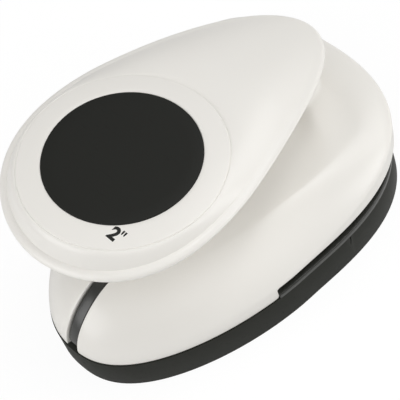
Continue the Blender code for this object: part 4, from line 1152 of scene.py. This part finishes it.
def makeScrewSet(tree, names, place, tilt):
    seats = []
    for name in names:
        low, high = boxOf(nodePoints(name, place))
        seat = low.z + screws["headHeight"] if tilt else high.z - screws["headHeight"]
        seats.append(((low.x + high.x) / 2, (low.y + high.y) / 2, seat))
        length = high.z - low.z - screws["headHeight"]
    bm = bmesh.new()
    for seat in seats:
        bm.verts.new(seat)
    screw = linked("screw", makeScrew(length))
    result = grown(meshFrom(bm, outward=False), tree,
                   {"Screw": screw, "Tilt": tilt, "Finish": finish["screw_steel"]})
    bpy.data.objects.remove(screw)
    return result


screwTree = makeScrewTree()
for title, (kind, count, body, place, tilt) in screwGroups.items():
    names = [f"{kind}_{i + 1}" for i in range(count)]
    screwSet = makeScrewSet(screwTree, names, place, tilt)
    addPiece(title, screwSet, "screw_steel", body, names, place)
print("circle punch: screws made")

# The solids' own finishes, for those that show and for those that a piece stands for
solidFinishes = {
    "arm_white": ("lever_arm",),
    "frame_steel": ("guide_frame", "lift_bridge"),
    "pin_steel": ("drive_fork", "drive_pin", "hinge_pin", "latch_pin", "pin_clip_left", "pin_clip_right"),
    "spring_steel": ("return_spring_left", "return_spring_right"),
    "base_black": ("base_tray",),
    "deck_black": ("paper_deck",),
    "latch_black": ("storage_latch",),
    "cutting_steel": ("die_plate", "punch"),
    "shell_white": ("top_housing", "lever_shell", "size_plate"),
    "disc_black": ("size_disc",),
}
finishOf = {name: title for title, names in solidFinishes.items() for name in names}
for name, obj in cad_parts.items():
    obj.material_slots[0].material = finish[finishOf.get(name, "screw_steel")]

# Floor, light and camera
studio = {
    "azimuth": math.radians(62.468),
    "elevation": math.radians(59.097),
    "roll": math.radians(-22.838),
    "distance": 0.449,
    "across": -0.000882,
    "up": -0.000397,
    "target": (0, 0, 0.020),
    "lens": 115.85,
    "sensor": 36,
    "floorColour": (0.86, 0.86, 0.855),
    "floorRoughness": 0.85,
    "floorHalf": 3,
    "floorGlow": 1.03,
    "floorShade": 0.90,
    "white": (1, 1, 1, 1),
    "sky": 0.35,
    "aim": (0, 0, 0.04),
    # place, size and power of each lamp
    "lamps": {
        "front": ((0.41, -0.21, 0.81), 0.6, 0.85),
        "right": ((0.55, 0.35, 0.35), 0.4, 1.3),
        "left": ((-0.15, -0.60, 0.35), 0.5, 1.85),
        "back": ((0.10, 0.50, 0.65), 0.5, 1.6),
        "top": ((0.12, 0.20, 0.82), 0.15, 0.45),
    },
}


def makeCamera():
    az, el, roll = studio["azimuth"], studio["elevation"], studio["roll"]
    back = Vector((math.sin(az) * math.cos(el), -math.cos(az) * math.cos(el), math.sin(el)))
    level = Vector((math.cos(az), math.sin(az), 0))
    upright = back.cross(level)
    right = level * math.cos(roll) + upright * math.sin(roll)
    up = -level * math.sin(roll) + upright * math.cos(roll)
    place = (onStand @ Vector(studio["target"]) + back * studio["distance"]
             + right * studio["across"] + up * studio["up"])
    data = bpy.data.cameras.new("camera")
    data.lens = studio["lens"]
    data.sensor_width = studio["sensor"]
    camera = linked("camera", data)
    camera.matrix_world = Matrix((
        (right.x, up.x, back.x, place.x), (right.y, up.y, back.y, place.y),
        (right.z, up.z, back.z, place.z), (0, 0, 0, 1)))
    bpy.context.scene.camera = camera


def makeFloor():
    # The camera sees mostly plain white and a share of the lit floor, with the punch's shadow.
    paint = Paint("floor_white", studio["floorColour"], studio["floorRoughness"])
    seen = paint.node("ShaderNodeLightPath")
    glow = paint.node("ShaderNodeEmission", None,
                      {"Color": studio["white"], "Strength": studio["floorGlow"]})
    lit = Signal(paint, paint.shader.outputs[0])
    mixed = paint.node("ShaderNodeMixShader", None, {0: seen * studio["floorShade"], 1: lit, 2: glow})
    paint.tree.links.new(mixed.socket, paint.tree.nodes["Material Output"].inputs["Surface"])
    bm = bmesh.new()
    bmesh.ops.create_grid(bm, x_segments=1, y_segments=1, size=studio["floorHalf"])
    mesh = meshFrom(bm, outward=False)
    mesh.materials.append(paint.material)
    linked("floor", mesh)


def makeLight():
    world = bpy.data.worlds.new("studio")
    world.use_nodes = True
    nodes, links = world.node_tree.nodes, world.node_tree.links
    sky = nodes["Background"]
    sky.inputs["Color"].default_value = studio["white"]
    sky.inputs["Strength"].default_value = studio["sky"]
    white = nodes.new("ShaderNodeBackground")
    white.inputs["Color"].default_value = studio["white"]
    path = nodes.new("ShaderNodeLightPath")
    chosen = nodes.new("ShaderNodeMixShader")
    links.new(path.outputs["Is Camera Ray"], chosen.inputs[0])
    links.new(sky.outputs[0], chosen.inputs[1])
    links.new(white.outputs[0], chosen.inputs[2])
    links.new(chosen.outputs[0], nodes["World Output"].inputs["Surface"])
    bpy.context.scene.world = world
    for name, (place, size, power) in studio["lamps"].items():
        data = bpy.data.lights.new(name, "AREA")
        data.size = size
        data.energy = power
        lamp = linked(name, data)
        lamp.location = place
        lamp.rotation_euler = (Vector(place) - Vector(studio["aim"])).to_track_quat("Z", "Y").to_euler()


makeCamera()
makeFloor()
makeLight()
bpy.context.scene.view_settings.view_transform = "Standard"
print("circle punch: floor, light and camera made")
